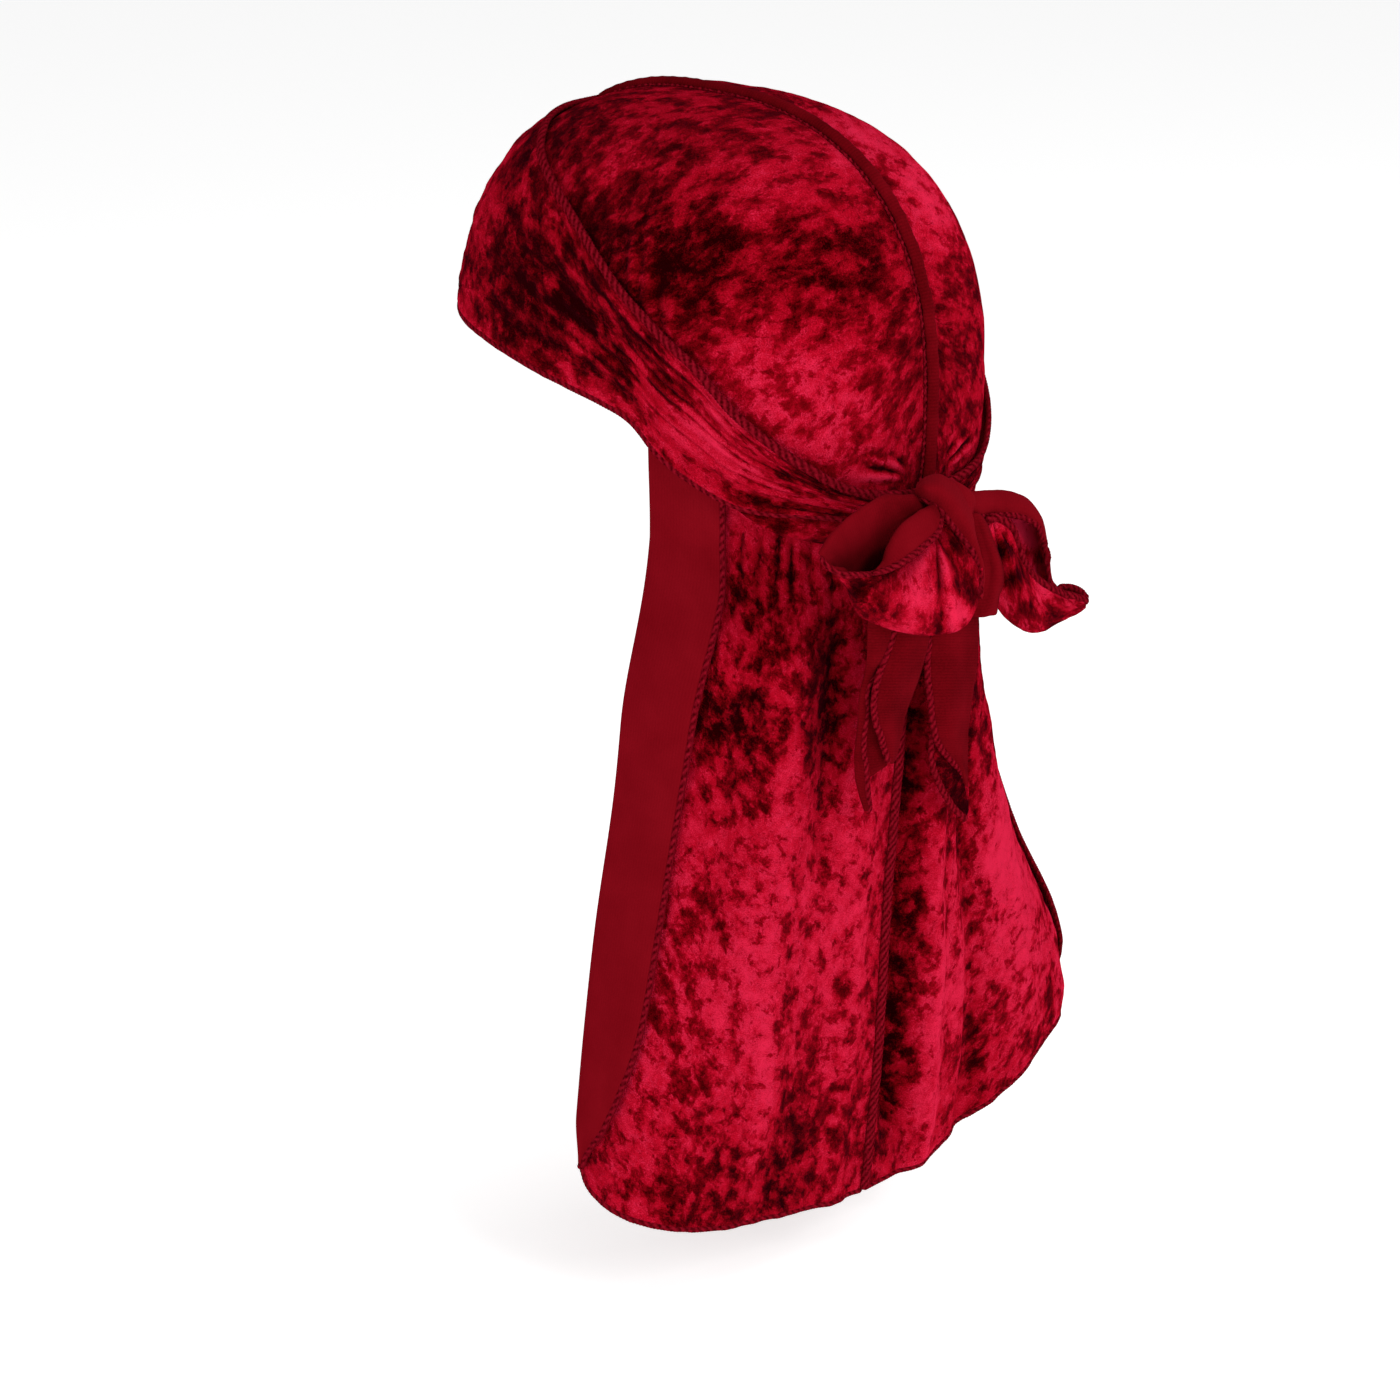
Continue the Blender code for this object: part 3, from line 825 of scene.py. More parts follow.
def crownPoints(side):
    u, v = gridOf(*crown["cells"])
    angle = np.radians(crown["startAngle"] + (crown["endAngle"] - crown["startAngle"]) * u)
    atSeam = np.stack([angle * 0, np.cos(angle), np.sin(angle)], -1)
    edge = rowsAt(crown["edge"], u[:, 0])
    atEdge = unit(headPoint(edge[:, 1], edge[:, 2] * head["rise"], 0.0))[:, None]
    way = unit(atSeam + (atEdge - atSeam) * v[..., None])
    bare = onHead(way, np.zeros(u.shape))
    turn = turnOf(bare)
    upper, lower = bandEdges(turn)
    below = np.clip((lower - crown["napeClearance"] - bare[..., 2]) / crown["napeHeight"], 0, 1)
    roll = crown["nape"] * np.sin(math.pi * below)

    above = bare[..., 2] - upper  # height over the wrap's upper edge
    free = ease(above / 0.004) * ease(v / 0.06)
    pull = sum(
        rise * bell(turn, at, width + 40 * np.maximum(above, 0)) * ease(1.3 - 1.3 * above / reach)
        for at, width, reach, rise in crown["pulls"]
    )
    fromKnot = bare - np.array(crown["knotAt"])
    reach = np.linalg.norm(fromKnot, axis=-1)
    fan = np.degrees(np.arctan2(fromKnot[..., 2], np.abs(fromKnot[..., 0]) + 1e-6))
    a, b = clothLengths(bare)
    fan = fan + 7 * lumps(a, b, 0.012, 0.012, 5)
    pucker = sum(
        rise * bell(fan, at, width) * ease((far - reach) / 0.018)
        for at, width, far, rise in crown["puckers"]
    ) * ease((reach - 0.010) / 0.008)
    shift = 3 if side > 0 else 60
    swell = rough(a, b, 0.035, 40 + shift, 2) * crown["swell"]
    crush = rough(a, b, 0.008, 50 + shift, 3) * crown["crush"]
    lift = crown["cloth"] / 2 + roll + free * (pull + crown["pucker"] * pucker + swell + crush)
    p = onHead(way, lift)
    p[..., 0] += crown["seamGap"] * (1 - v)
    p[..., 0] *= side
    # painted light on the folds pulled up from the wrap with painted shade beside them, painted
    # light on puckers that rise and shade in those that sink
    nap = free * (110 * pull - 0.06 * ease(pull / 0.0003) + 0.42 * pucker)
    return p, nap


cape = {
    "cells": (131, 201),
    "cloth": 0.0012,
    "napeEdge": 0.054,
    "drop": 0.276,
    "halfWidth": 0.120,
    "creaseTurn": 118,
    "tuckAtSeam": 0.0016,
    "tuckAtCrease": 0.0050,
    "margin": 0.030,
    "marginRadius": 0.0016,
    # shares of the grid that the cape and then its fold take up
    "mainShare": 0.76,
    "creaseShare": 0.88,
    "ripple": 0.0011,
    "crush": 0.0004,
    "marginWave": 0.0006,
    "fold": 0.010,
    # painted light over the whole cape
    "lean": 0.02,
    "seamGap": 0.0004,
    # drop, middle back, crease out, crease back, squareness, margin width, all as shares
    "levels": {
        1: (
            (-0.16, 0.975, 0.610, 0.360, 2.5, 0.98),
            (0.00, 0.940, 0.650, 0.365, 2.5, 1.00),
            (0.17, 0.910, 0.690, 0.345, 2.5, 1.00),
            (0.35, 0.880, 0.727, 0.325, 2.6, 0.92),
            (0.53, 0.840, 0.805, 0.315, 2.8, 0.89),
            (0.68, 0.820, 0.893, 0.345, 3.0, 0.77),
            (0.80, 0.800, 0.950, 0.365, 3.1, 0.42),
            (0.86, 0.785, 0.975, 0.375, 3.2, 0.08),
            (1.00, 0.745, 1.010, 0.390, 3.4, 0.07),
        ),
        -1: (
            (-0.16, 0.975, 0.610, 0.360, 2.5, 0.98),
            (0.00, 0.940, 0.650, 0.365, 2.5, 1.00),
            (0.17, 0.910, 0.690, 0.335, 2.4, 1.00),
            (0.35, 0.880, 0.750, 0.350, 2.6, 0.96),
            (0.53, 0.840, 0.875, 0.420, 3.2, 0.92),
            (0.68, 0.820, 1.040, 0.490, 4.2, 0.77),
            (0.80, 0.800, 1.130, 0.520, 4.6, 0.42),
            (0.86, 0.785, 1.130, 0.510, 4.6, 0.08),
            (1.00, 0.745, 1.170, 0.520, 4.6, 0.07),
        ),
    },
    # share from the seam to the crease, top and hem as shares of the drop
    "ends": {
        1: (
            (0.00, -0.030, 0.989),
            (0.30, -0.040, 0.975),
            (0.60, -0.072, 0.957),
            (0.72, -0.100, 0.942),
            (0.85, -0.134, 0.922),
            (0.93, -0.152, 0.906),
            (0.975, -0.161, 0.890),
            (1.00, -0.166, 0.866),
        ),
        -1: (
            (0.00, -0.030, 0.989),
            (0.30, -0.040, 0.970),
            (0.50, -0.060, 0.930),
            (0.62, -0.075, 0.890),
            (0.74, -0.104, 0.865),
            (0.87, -0.138, 0.845),
            (1.00, -0.166, 0.800),
        ),
    },
    # folds: share from the seam, width, depth, from and to as shares of the drop
    "folds": {
        1: (
            (0.60, 0.060, 0.50, 0.10, 0.62),
            (0.30, 0.055, 0.45, 0.04, 0.50),
            (0.14, 0.060, -0.30, 0.10, 1.10),
            (0.45, 0.070, -0.30, 0.05, 0.90),
        ),
        -1: (
            (0.085, 0.042, 1.00, 0.08, 0.96),
            (0.19, 0.050, -0.60, 0.10, 1.05),
            (0.40, 0.050, 0.60, 0.20, 1.05),
            (0.60, 0.080, -0.35, 0.25, 1.05),
        ),
    },
    # painted light and shade along the folds: share from the seam, width, lightness, from and to
    "paintedFoldShading": {
        1: (
            (0.22, 0.040, 0.06, 0.10, 0.95),
            (0.40, 0.030, -0.07, 0.30, 0.90),
            (0.80, 0.050, 0.05, 0.20, 0.80),
        ),
        -1: (
            (0.120, 0.034, -0.12, 0.19, 0.92),
            (0.215, 0.022, 0.12, 0.15, 1.00),
            (0.42, 0.040, -0.08, 0.20, 0.90),
        ),
    },
    # small gathers where the cloth is tucked under the wrap: share from the seam, width, depth, end
    "gathers": (
        (0.665, 0.010, 0.20, 0.10),
        (0.600, 0.018, 0.16, 0.14),
        (0.530, 0.010, 0.22, 0.09),
        (0.480, 0.013, 0.16, 0.13),
        (0.410, 0.016, 0.14, 0.10),
        (0.330, 0.012, 0.18, 0.12),
        (0.230, 0.015, 0.14, 0.12),
    ),
}


def capePlan(side, drop):
    # cross-sections of the cape from the seam to the crease at several drops, on the left side
    share = rowsAt(cape["levels"][side], drop / cape["drop"])
    height = -cape["napeEdge"] - drop
    s = np.linspace(0, 1, 97)
    power = 2 / share[:, 4:5]
    back, foldBack = share[:, 1:2] * head["back"], share[:, 3:4] * head["back"]
    sine = np.sin(s * math.pi / 2)[None] ** power
    cosine = np.maximum(np.cos(s * math.pi / 2), 0.0)[None] ** power
    hung = np.stack(
        [
            share[:, 2:3] * cape["halfWidth"] * sine,
            foldBack + (back - foldBack) * cosine,
            np.broadcast_to(height[:, None], sine.shape),
        ],
        -1,
    )
    turn = 180 + (cape["creaseTurn"] - 180) * s
    tuck = cape["tuckAtSeam"] + (cape["tuckAtCrease"] - cape["tuckAtSeam"]) * ease(s * 2)
    worn = headPoint(
        turn[None], np.maximum(height, -head["nape"] / 2)[:, None] + 0 * s[None], -tuck[None]
    )
    worn[..., 2] = height[:, None]
    settle = cape["drop"] * (0.17 + 0.18 * s[None])
    free = ease((drop[:, None] + cape["drop"] * (0.02 + 0.08 * s[None])) / settle)[..., None]
    return worn + (hung - worn) * free, share[:, 5] * cape["margin"]


def alongPlan(plans, share):
    # the place at a share of each cross-section's length, with the ways along and out there
    steps = np.linalg.norm(np.diff(plans[..., :2], axis=1), axis=-1)
    run = np.concatenate([np.zeros((len(plans), 1)), np.cumsum(steps, 1)], 1)
    length = run[:, -1]
    place = share * length
    here, way = np.zeros((len(plans), 2)), np.zeros((len(plans), 2))
    for k in range(len(plans)):
        ahead = min(place[k] + length[k] * 0.02, length[k])
        behind = max(place[k] - length[k] * 0.02, 0.0)
        for axis in (0, 1):
            line = plans[k, :, axis]
            here[k, axis] = np.interp(place[k], run[k], line)
            way[k, axis] = np.interp(ahead, run[k], line) - np.interp(behind, run[k], line)
    along = unit(np.concatenate([way, np.zeros((len(plans), 1))], 1))
    out = np.stack([-along[:, 1], along[:, 0], np.zeros(len(plans))], 1)
    return np.concatenate([here, plans[:, :1, 2]], 1), along, out, length


def foldDepth(side, s, drop):
    level = drop / cape["drop"]
    depth = sum(
        share * ease((level - start) / 0.12) * ease((end - level) / 0.12) * bell(s, place, width)
        for place, width, share, start, end in cape["folds"][side]
    )
    gather = sum(
        share * ease((level + 0.05) / 0.05) * ease((end - level) / 0.12) * bell(s, place, width)
        for place, width, share, end in cape["gathers"]
    )
    return depth * ease((1 - s) * 4), gather * ease((1 - s) * 4)


def capeMain(side, s, drop, plans):
    # one line of points down the hanging part of the cape, and the light and shade painted on it
    here, _, out, length = alongPlan(plans, np.full(len(drop), s))
    depth, gather = foldDepth(side, s, drop)
    level = drop / cape["drop"]
    a, b = s * length, drop
    shift = 70 if side > 0 else 90
    ripple = cape["ripple"] * rough(a, b, 0.028, shift, 2, 0.6)
    ripple = ripple + cape["crush"] * rough(a, b, 0.009, shift + 5, 3)
    quiet = ease((1 - s) * 5) * ease((level + 0.02) / 0.12) * ease(s * 10)
    here = here - out * (cape["fold"] * (depth + gather))[:, None]
    here = here + out * (ripple * quiet)[:, None]
    here[:, 0] += cape["seamGap"] * (1 - s)
    wander = 0.012 * lumps(a * 0, b, 0.02, 0.035, 17)
    foldShading = sum(
        lightness
        * bell(s + wander, at, width)
        * ease((level - start) / 0.08)
        * ease((end - level) / 0.08)
        for at, width, lightness, start, end in cape["paintedFoldShading"][side]
    )
    # painted shade in the folds and gathers, painted light and shade along the folds, and soft
    # painted streaks of light and shade
    return here, foldShading - 0.16 * depth - 1.1 * gather + 0.07 * lumps(a, b, 0.010, 0.085, shift + 12)


def capePoints(side):
    nu, nv = cape["cells"]
    mainShare, creaseShare = cape["mainShare"], cape["creaseShare"]
    p = np.zeros((nu, nv, 3))
    nap = np.zeros((nu, nv))
    v = np.linspace(0, 1, nv)
    ends = cape["ends"][side]
    hem = rowsAt(ends, 1.0)[2]
    # the fold is pressed flat where it is sewn into the hem
    r = cape["marginRadius"] * (0.25 + 0.75 * ease((1 - v) / 0.07))
    for k, u in enumerate(np.linspace(0, 1, nu)):
        s = min(u / mainShare, 1.0)
        top = rowsAt(ends, s)
        drop = (top[1] + (top[2] - top[1]) * v) * cape["drop"]
        plans, margin = capePlan(side, drop)
        if u <= mainShare:
            here, nap[k] = capeMain(side, s, drop, plans)
        elif u <= creaseShare:
            here, along, out, length = alongPlan(plans, np.ones(nv))
            bend = math.pi * (u - mainShare) / (creaseShare - mainShare)
            here = here + out * (r * (1 - math.cos(bend)))[:, None]
            here = here + along * (r * math.sin(bend))[:, None]
        else:
            length = alongPlan(plans, np.ones(nv))[3]
            back = margin * (u - creaseShare) / (1 - creaseShare) / length
            tops = rowsAt(ends, 1 - back * ease(1.2 - v))[:, 1]
            drop = (tops + (hem - tops) * v) * cape["drop"]
            plans, margin = capePlan(side, drop)
            here, _, out, length = alongPlan(plans, 1 - back)
            wave = cape["marginWave"] * lumps(np.full(nv, u * 0.2), drop, 0.02, 0.05, 77)
            here = here + out * (r * 2 + wave)[:, None]
        here[:, 0] *= side
        p[k] = here
    return p, nap


sewnSizes = ("step", "sides", "halfWidth", "halfHeight", "stitch", "slant", "relief", "raise")
# the sewn edges, lengths in metres
sewn = {
    edge: dict(zip(sewnSizes, sizes))
    for edge, sizes in (
        ("bandUpper", (0.00036, 10, 0.0018, 0.0012, 0.0014, 2, 0.13, 0.0003)),
        ("edge", (0.00045, 8, 0.0013, 0.0009, 0.0014, 2, 0.10, 0.0)),
        ("crownSeam", (0.0006, 14, 0.0027, 0.0022, 0.0060, 1, 0.05, 0.0010)),
        ("seamStitch", (0.0003, 6, 0.0006, 0.0005, 0.0024, 0, 0.45, 0.0003)),
        ("strapEdge", (0.0004, 8, 0.0014, 0.0010, 0.0013, 2, 0.14, 0.0003)),
        ("lobeEdge", (0.0004, 10, 0.0017, 0.0014, 0.0013, 2, 0.15, 0.0008)),
        ("capeSeam", (0.0006, 12, 0.0025, 0.0013, 0.0021, 1, 0.07, 0.0004)),
    )
}


def dress(piece, node):
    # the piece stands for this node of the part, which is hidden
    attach(piece, "root")
    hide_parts(node)


def facing(grid, nap, inside):
    # turns the grid over if its face side looks inwards
    middle = grid[grid.shape[0] // 2, grid.shape[1] // 2]
    normal = gridNormals(grid)[grid.shape[0] // 2, grid.shape[1] // 2]
    if normal @ (middle - inside) < 0:
        return grid[:, ::-1], nap[:, ::-1]
    return grid, nap


print("building the wrap")
bandGrid, bandPaintedShading = facing(*bandPoints(), np.zeros(3))
bandNormals = gridNormals(bandGrid)
# the upper edge has the wider stitching
bandTop = 0 if bandGrid[0, 0, 2] > bandGrid[0, -1, 2] else -1
bandLean = bandPaintedShading + paintedLightAt(bandGrid) + band["lean"]
bandShells = [sheetShell(bandGrid, band["cloth"], bandLean, 0.1, stretch=1.5)]
for column in (0, -1):
    settings = sewn["bandUpper"] if column == bandTop else sewn["edge"]
    bandShells.append(overlockShell(bandGrid[:, column], bandNormals[:, column], settings, 11))
wrap = clothPiece("browWrap", bandShells, [velvets["Band"], jersey, thread])
dress(wrap, "head_band")

print("building the crown")
crownPanels = {}
for label, side in (("Left", 1), ("Right", -1)):
    grid, nap = crownPoints(side)
    grid, nap = facing(grid, nap, np.zeros(3))
    panelPaintedShading = nap + paintedLightAt(grid) + crown["lean"]
    shell = sheetShell(grid, crown["cloth"], panelPaintedShading, 0.8 if side > 0 else 1.9)
    crownPanels[label] = clothPiece(f"crown{label}", [shell], [velvets["Crown"], jersey, thread])
    dress(crownPanels[label], f"crown_{label.lower()}")

# the seam is a smooth roll with a line of stitches along each side
seam = {"points": 300, "from": 121, "to": -25, "stitchLine": 0.0034, "lean": -0.32}
seamAngles = np.radians(np.linspace(seam["from"], seam["to"], seam["points"]))
seamWay = np.stack([seamAngles * 0, np.cos(seamAngles), np.sin(seamAngles)], -1)
seamPath = onHead(seamWay, np.full(seam["points"], crown["cloth"]))
seamRoll = overlockShell(seamPath, outward(seamPath), sewn["crownSeam"], 3)
seamRoll["index"] = seamRoll["index"] * 0 + 1
# painted shade darkens the whole roll
seamRoll["nap"] = seamRoll["nap"] + seam["lean"]
seamShells = [seamRoll]
for offset in (seam["stitchLine"], -seam["stitchLine"]):
    linePath = seamPath + np.array([offset, 0.0, 0.0])
    seamShells.append(overlockShell(linePath, outward(seamPath), sewn["seamStitch"], 7))
crownSeam = clothPiece("crownSeam", seamShells, [velvets["Crown"], jersey, thread])
dress(crownSeam, "crown_seam")

print("building the cape")
capeHalves = {}
for label, side in (("Left", 1), ("Right", -1)):
    grid, nap = capePoints(side)
    start = grid
    grid, nap = facing(grid, nap, np.array([0.0, 0.0, grid[60, 100, 2]]))
    hemColumn = -1 if grid is start else 0
    normals = gridNormals(grid)
    halfPaintedShading = nap + paintedLightAt(grid) + cape["lean"]
    shells = [sheetShell(grid, cape["cloth"], halfPaintedShading, 3.1 if side > 0 else 4.3, stretch=0.88)]
    shells.append(overlockShell(grid[:, hemColumn], normals[:, hemColumn], sewn["edge"], 21))
    shells.append(overlockShell(grid[-1], normals[-1], sewn["edge"], 31))
    capeHalves[label] = clothPiece(f"cape{label}", shells, [velvets["Cape"], jersey, thread])
    dress(capeHalves[label], f"cape_{label.lower()}")

seamDrop = np.linspace(0, 0.989, 220) * cape["drop"]
x, y, z = capePlan(1, seamDrop)[0][:, 0].T
seamLine = np.stack([x * 0, y + cape["cloth"] / 2, z], 1)
seamRoll = overlockShell(seamLine, np.tile([0.0, 1.0, 0.1], (220, 1)), sewn["capeSeam"], 8)
capeSeam = clothPiece("capeSeam", [seamRoll], [thread, thread, thread])
dress(capeSeam, "cape_seam")

# the photo's view of the durag: its ways to the side, towards the camera and up
azimuth, elevation = math.radians(132.7), math.radians(17.2)
sideWay = np.array([math.cos(azimuth), math.sin(azimuth), 0.0])
level = math.cos(elevation)
nearWay = np.array([sideWay[1] * level, -sideWay[0] * level, math.sin(elevation)])
upWay = np.cross(nearWay, sideWay)
bow = {
    "cloth": 0.0013,
    # painted light and shade over all the bow's velvet, its jersey and the hidden reverse sides
    "velvetPaintedShading": 0.07,
    "jerseyPaintedShading": -0.10,
    "hiddenPaintedShading": -0.03,
    "crush": 0.00018,
    "foldStart": 0.012,
    # the wound core under the strap
    "core": (0.0115, 0.0090, 0.0108),
    "winding": 0.06,
    "middle": (0.0, 0.1230, -0.0400),
    "step": 0.000376,
    # nets of points: across and up in steps as the camera sees them, then out in millimetres
    "leftWall": (
        ((-24, 8, -2), (-25, 11, 4), (-20, 3, 5), (-15, -5, 3), (-10, -50, 0)),
        ((-44, 7, -2), (-45, 10, 5), (-39, -5, 6), (-32, -22, 2), (-30, -98, -1)),
        ((-64, 5, -1), (-65, 8, 6), (-58, -16, 6), (-50, -42, 0), (-51, -108, -1)),
        ((-85, -6, 1), (-85, -3, 8), (-78, -28, 6), (-68, -66, -2), (-70, -105, 0)),
        ((-103, -20, 3), (-104, -17, 9), (-97, -40, 6), (-88, -76, -2), (-84, -96, 1)),
        ((-118, -34, 5), (-119, -32, 10), (-113, -48, 8), (-104, -72, 0), (-95, -80, 2)),
        ((-128, -48, 9), (-129, -46, 12), (-124, -54, 11), (-116, -64, 6), (-105, -66, 4)),
        ((-129, -54, 12), (-130, -52, 13), (-125, -57, 12), (-118, -62, 9), (-112, -62, 6)),
    ),
    "leftLobe": (
        ((-130, -52, 13), (-127, -56, 12), (-122, -60, 11), (-118, -62, 9), (-112, -62, 6)),
        ((-124, -61, 15), (-122, -63, 14), (-118, -65, 12), (-112, -66, 9), (-104, -64, 4)),
        ((-109, -69, 17), (-108, -72, 17), (-106, -78, 15), (-102, -84, 11), (-95, -80, 3)),
        ((-94, -70, 18), (-94, -75, 19), (-96, -88, 18), (-96, -100, 13), (-86, -98, 2)),
        ((-79, -69, 18), (-79, -74, 20), (-83, -90, 21), (-90, -108, 14), (-78, -108, 1)),
        ((-66, -62, 15), (-66, -72, 19), (-68, -95, 22), (-73, -114, 14), (-64, -114, 0)),
        ((-52, -54, 13), (-51, -66, 17), (-51, -94, 22), (-53, -120, 14), (-48, -118, 0)),
        ((-40, -44, 11), (-37, -60, 16), (-33, -92, 22), (-31, -123, 14), (-30, -120, 0)),
        ((-26, -35, 9), (-20, -52, 15), (-12, -85, 21), (-5, -122, 14), (-8, -118, 1)),
        ((-14, -27, 8), (-8, -42, 13), (4, -75, 19), (17, -114, 15), (14, -110, 6)),
        ((-9, -20, 8), (0, -32, 12), (14, -58, 17), (30, -90, 16), (27, -90, 10)),
        ((-9, -14, 8), (2, -22, 11), (18, -42, 15), (34, -66, 15), (31, -68, 10)),
        ((-8, -10, 8), (3, -14, 10), (14, -26, 13), (24, -42, 13), (22, -44, 9)),
        ((-6, -6, 7), (2, -8, 8), (6, -12, 9), (10, -20, 9), (9, -22, 7)),
    ),
    "leftFlap": (
        ((-75, -68, 14), (-76, -66, 17), (-77, -67, 18), (-79, -69, 19)),
        ((-67, -60, 11), (-68, -56, 15), (-66, -60, 18), (-65, -64, 20)),
        ((-62, -46, 10), (-63, -41, 14), (-57, -50, 18), (-51, -57, 20)),
        ((-49, -26, 9), (-50, -21, 13), (-44, -36, 17), (-38, -48, 19)),
        ((-31, -12, 8), (-32, -7, 12), (-29, -24, 16), (-25, -37, 18)),
        ((-20, -5, 7), (-21, -1, 11), (-18, -15, 14), (-14, -27, 16)),
        ((-14, -2, 7), (-15, 2, 10), (-12, -8, 12), (-10, -17, 14)),
        ((-11, -3, 7), (-12, 0, 9), (-10, -4, 10), (-9, -9, 11)),
    ),
    "rightBand": (
        ((22, -5, 6), (21, 6, 6), (20, 16, 2), (24, 4, -2), (28, -8, -2), (34, -22, 0)),
        ((42, -6, 6), (42, 7, 6), (42, 19, 2), (44, 4, -2), (48, -16, -2), (56, -34, 0)),
        ((62, -3, 6), (62, 9, 6), (62, 20, 1), (64, 4, -4), (68, -24, -4), (73, -50, -1)),
        ((82, -5, 6), (81, 7, 6), (80, 16, 1), (84, 2, -5), (84, -32, -5), (81, -62, -1)),
        ((96, -12, 6), (95, -3, 6), (94, 5, 1), (97, -8, -5), (97, -38, -5), (90, -72, -1)),
        ((100, -16, 5), (101, -11, 5), (101, -6, 1), (103, -24, -4), (101, -46, -4), (97, -78, -1)),
        (
            (104, -26, 4), (104, -22, 4), (105, -18, 1),
            (103, -32, -3), (106, -52, -3), (102, -82, -1),
        ),
        (
            (109, -46, 4), (109, -42, 4), (110, -40, 1),
            (110, -52, -2), (111, -64, -2), (110, -86, -1),
        ),
        ((112, -70, 5), (113, -68, 3), (114, -66, 1), (114, -70, 0), (115, -76, 0), (116, -88, 0)),
        ((119, -78, 6), (120, -77, 4), (121, -76, 3), (121, -79, 2), (121, -84, 2), (122, -92, 2)),
    ),
    "rightLobe": (
        ((38, -12, 7), (38, -25, 8), (40, -45, 9), (42, -65, 8), (44, -80, 5)),
        ((50, -8, 8), (50, -20, 10), (51, -45, 12), (54, -75, 10), (57, -100, 5)),
        ((65, -16, 9), (64, -28, 11), (65, -52, 14), (68, -85, 12), (70, -112, 5)),
        ((72, -35, 10), (73, -45, 12), (76, -68, 15), (80, -95, 12), (83, -119, 5)),
        ((81, -54, 10), (82, -62, 13), (85, -80, 15), (89, -103, 12), (93, -122, 5)),
        ((92, -66, 10), (94, -74, 13), (97, -88, 14), (101, -106, 12), (106, -120, 5)),
        ((105, -75, 10), (106, -81, 12), (109, -92, 13), (113, -105, 11), (117, -114, 5)),
        ((119, -81, 10), (120, -85, 11), (124, -92, 12), (127, -101, 10), (130, -107, 6)),
        ((132, -85, 10), (134, -88, 11), (136, -93, 11), (139, -98, 9), (141, -102, 7)),
        ((145, -88, 9), (146, -90, 10), (148, -92, 10), (149, -94, 9), (150, -96, 7)),
        ((150, -90, 8), (151, -91, 8), (151, -92, 8), (151, -93, 8), (151, -94, 7)),
    ),
    "tipCurl": (
        ((112, -79, 9), (114, -80, 6), (117, -79, 4), (119, -77, 5)),
        ((122, -83, 10), (123, -83, 6), (124, -80, 3), (125, -74, 4)),
        ((132, -86, 10), (133, -85, 6), (134, -81, 3), (135, -74, 4)),
        ((142, -88, 10), (143, -86, 6), (145, -82, 3), (147, -78, 4)),
        ((149, -90, 8), (150, -89, 6), (151, -87, 5), (152, -84, 5)),
        ((151, -91, 8), (152, -90, 7), (152, -89, 6), (153, -88, 6)),
    ),
    "knotStrap": (
        ((-34, 12, 3), (-34, 17, 4), (-32, 22, 0)),
        ((-24, 7, 8), (-25, 19, 11), (-24, 30, 2)),
        ((-14, 2, 10), (-12, 18, 14), (-9, 34, 3)),
        ((-6, -6, 12), (0, 10, 15), (6, 25, 5)),
        ((2, -16, 13), (10, -2, 16), (17, 11, 7)),
        ((12, -27, 14), (19, -16, 17), (24, -5, 10)),
        ((22, -40, 16), (26, -32, 17), (27, -25, 12)),
        ((30, -52, 16), (32, -48, 17), (32, -44, 13)),
        ((34, -66, 16), (35, -64, 17), (36, -62, 14)),
        ((32, -87, 16), (34, -88, 16), (35, -90, 14)),
    ),
    "fallingStrap": (
        ((22, -5, 8), (26, -4, 9), (31, -4, 9), (35, -5, 5)),
        ((25, -22, 10), (32, -22, 11), (40, -22, 12), (47, -22, 6)),
        ((31, -40, 11), (38, -39, 12), (47, -38, 13), (56, -38, 6)),
        ((35, -57, 12), (43, -57, 12), (53, -56, 14), (63, -55, 7)),
        ((30, -75, 11), (41, -75, 12), (52, -75, 14), (60, -75, 8)),
        ((24, -90, 9), (38, -91, 11), (48, -88, 13), (55, -86, 9)),
        ((26, -104, 8), (37, -105, 10), (46, -103, 10), (53, -102, 8)),
        ((28, -102, 6), (38, -103, 6), (46, -101, 6), (52, -101, 5)),
    ),
    "tailLeftInner": (
        ((-82, -105, 6), (-68, -105, 8), (-54, -105, 7)),
        ((-82, -130, 3), (-70, -130, 5), (-57, -130, 4)),
        ((-82, -150, 0), (-73, -150, 2), (-64, -150, 1)),
        ((-84, -167, -3), (-79, -167, -2), (-74, -167, -2)),
        ((-88, -182, -5), (-85, -182, -4), (-81, -182, -4)),
        ((-89, -200, -7), (-85, -200, -6), (-80, -201, -6)),
        ((-90, -220, -8), (-87, -220, -7), (-83, -221, -7)),
        ((-92, -240, -10), (-88, -240, -9), (-84, -241, -9)),
        ((-92, -255, -11), (-87, -256, -10), (-81, -257, -10)),
        ((-90, -275, -12), (-85, -277, -11), (-79, -280, -11)),
        ((-81, -302, -13), (-79, -303, -12), (-76, -304, -13)),
    ),
    "tailLeftMain": (
        ((-56, -105, 8), (-36, -105, 11), (-17, -105, 8)),
        ((-56, -125, 5), (-36, -125, 8), (-17, -125, 5)),
        ((-62, -145, 3), (-42, -145, 6), (-21, -145, 3)),
        ((-70, -167, 1), (-49, -167, 4), (-27, -167, 0)),
        ((-74, -187, -1), (-54, -187, 1), (-34, -187, -3)),
        ((-73, -207, -3), (-56, -207, -2), (-40, -207, -6)),
        ((-66, -227, -5), (-54, -227, -4), (-44, -227, -8)),
        ((-60, -242, -7), (-53, -243, -6), (-48, -243, -9)),
        ((-56, -254, -8), (-54, -255, -8), (-52, -255, -10)),
    ),
    "tailLeftBack": (
        ((-77, -175, -4), (-70, -175, -3)),
        ((-80, -205, -7), (-67, -205, -5)),
        ((-81, -230, -10), (-62, -230, -8)),
        ((-80, -255, -12), (-57, -252, -11)),
        ((-78, -270, -13), (-58, -257, -12)),
    ),
    "tailRightMain": (
        ((-18, -100, 6), (8, -98, 9), (35, -95, 5)),
        ((-18, -130, 3), (8, -130, 6), (35, -130, 1)),
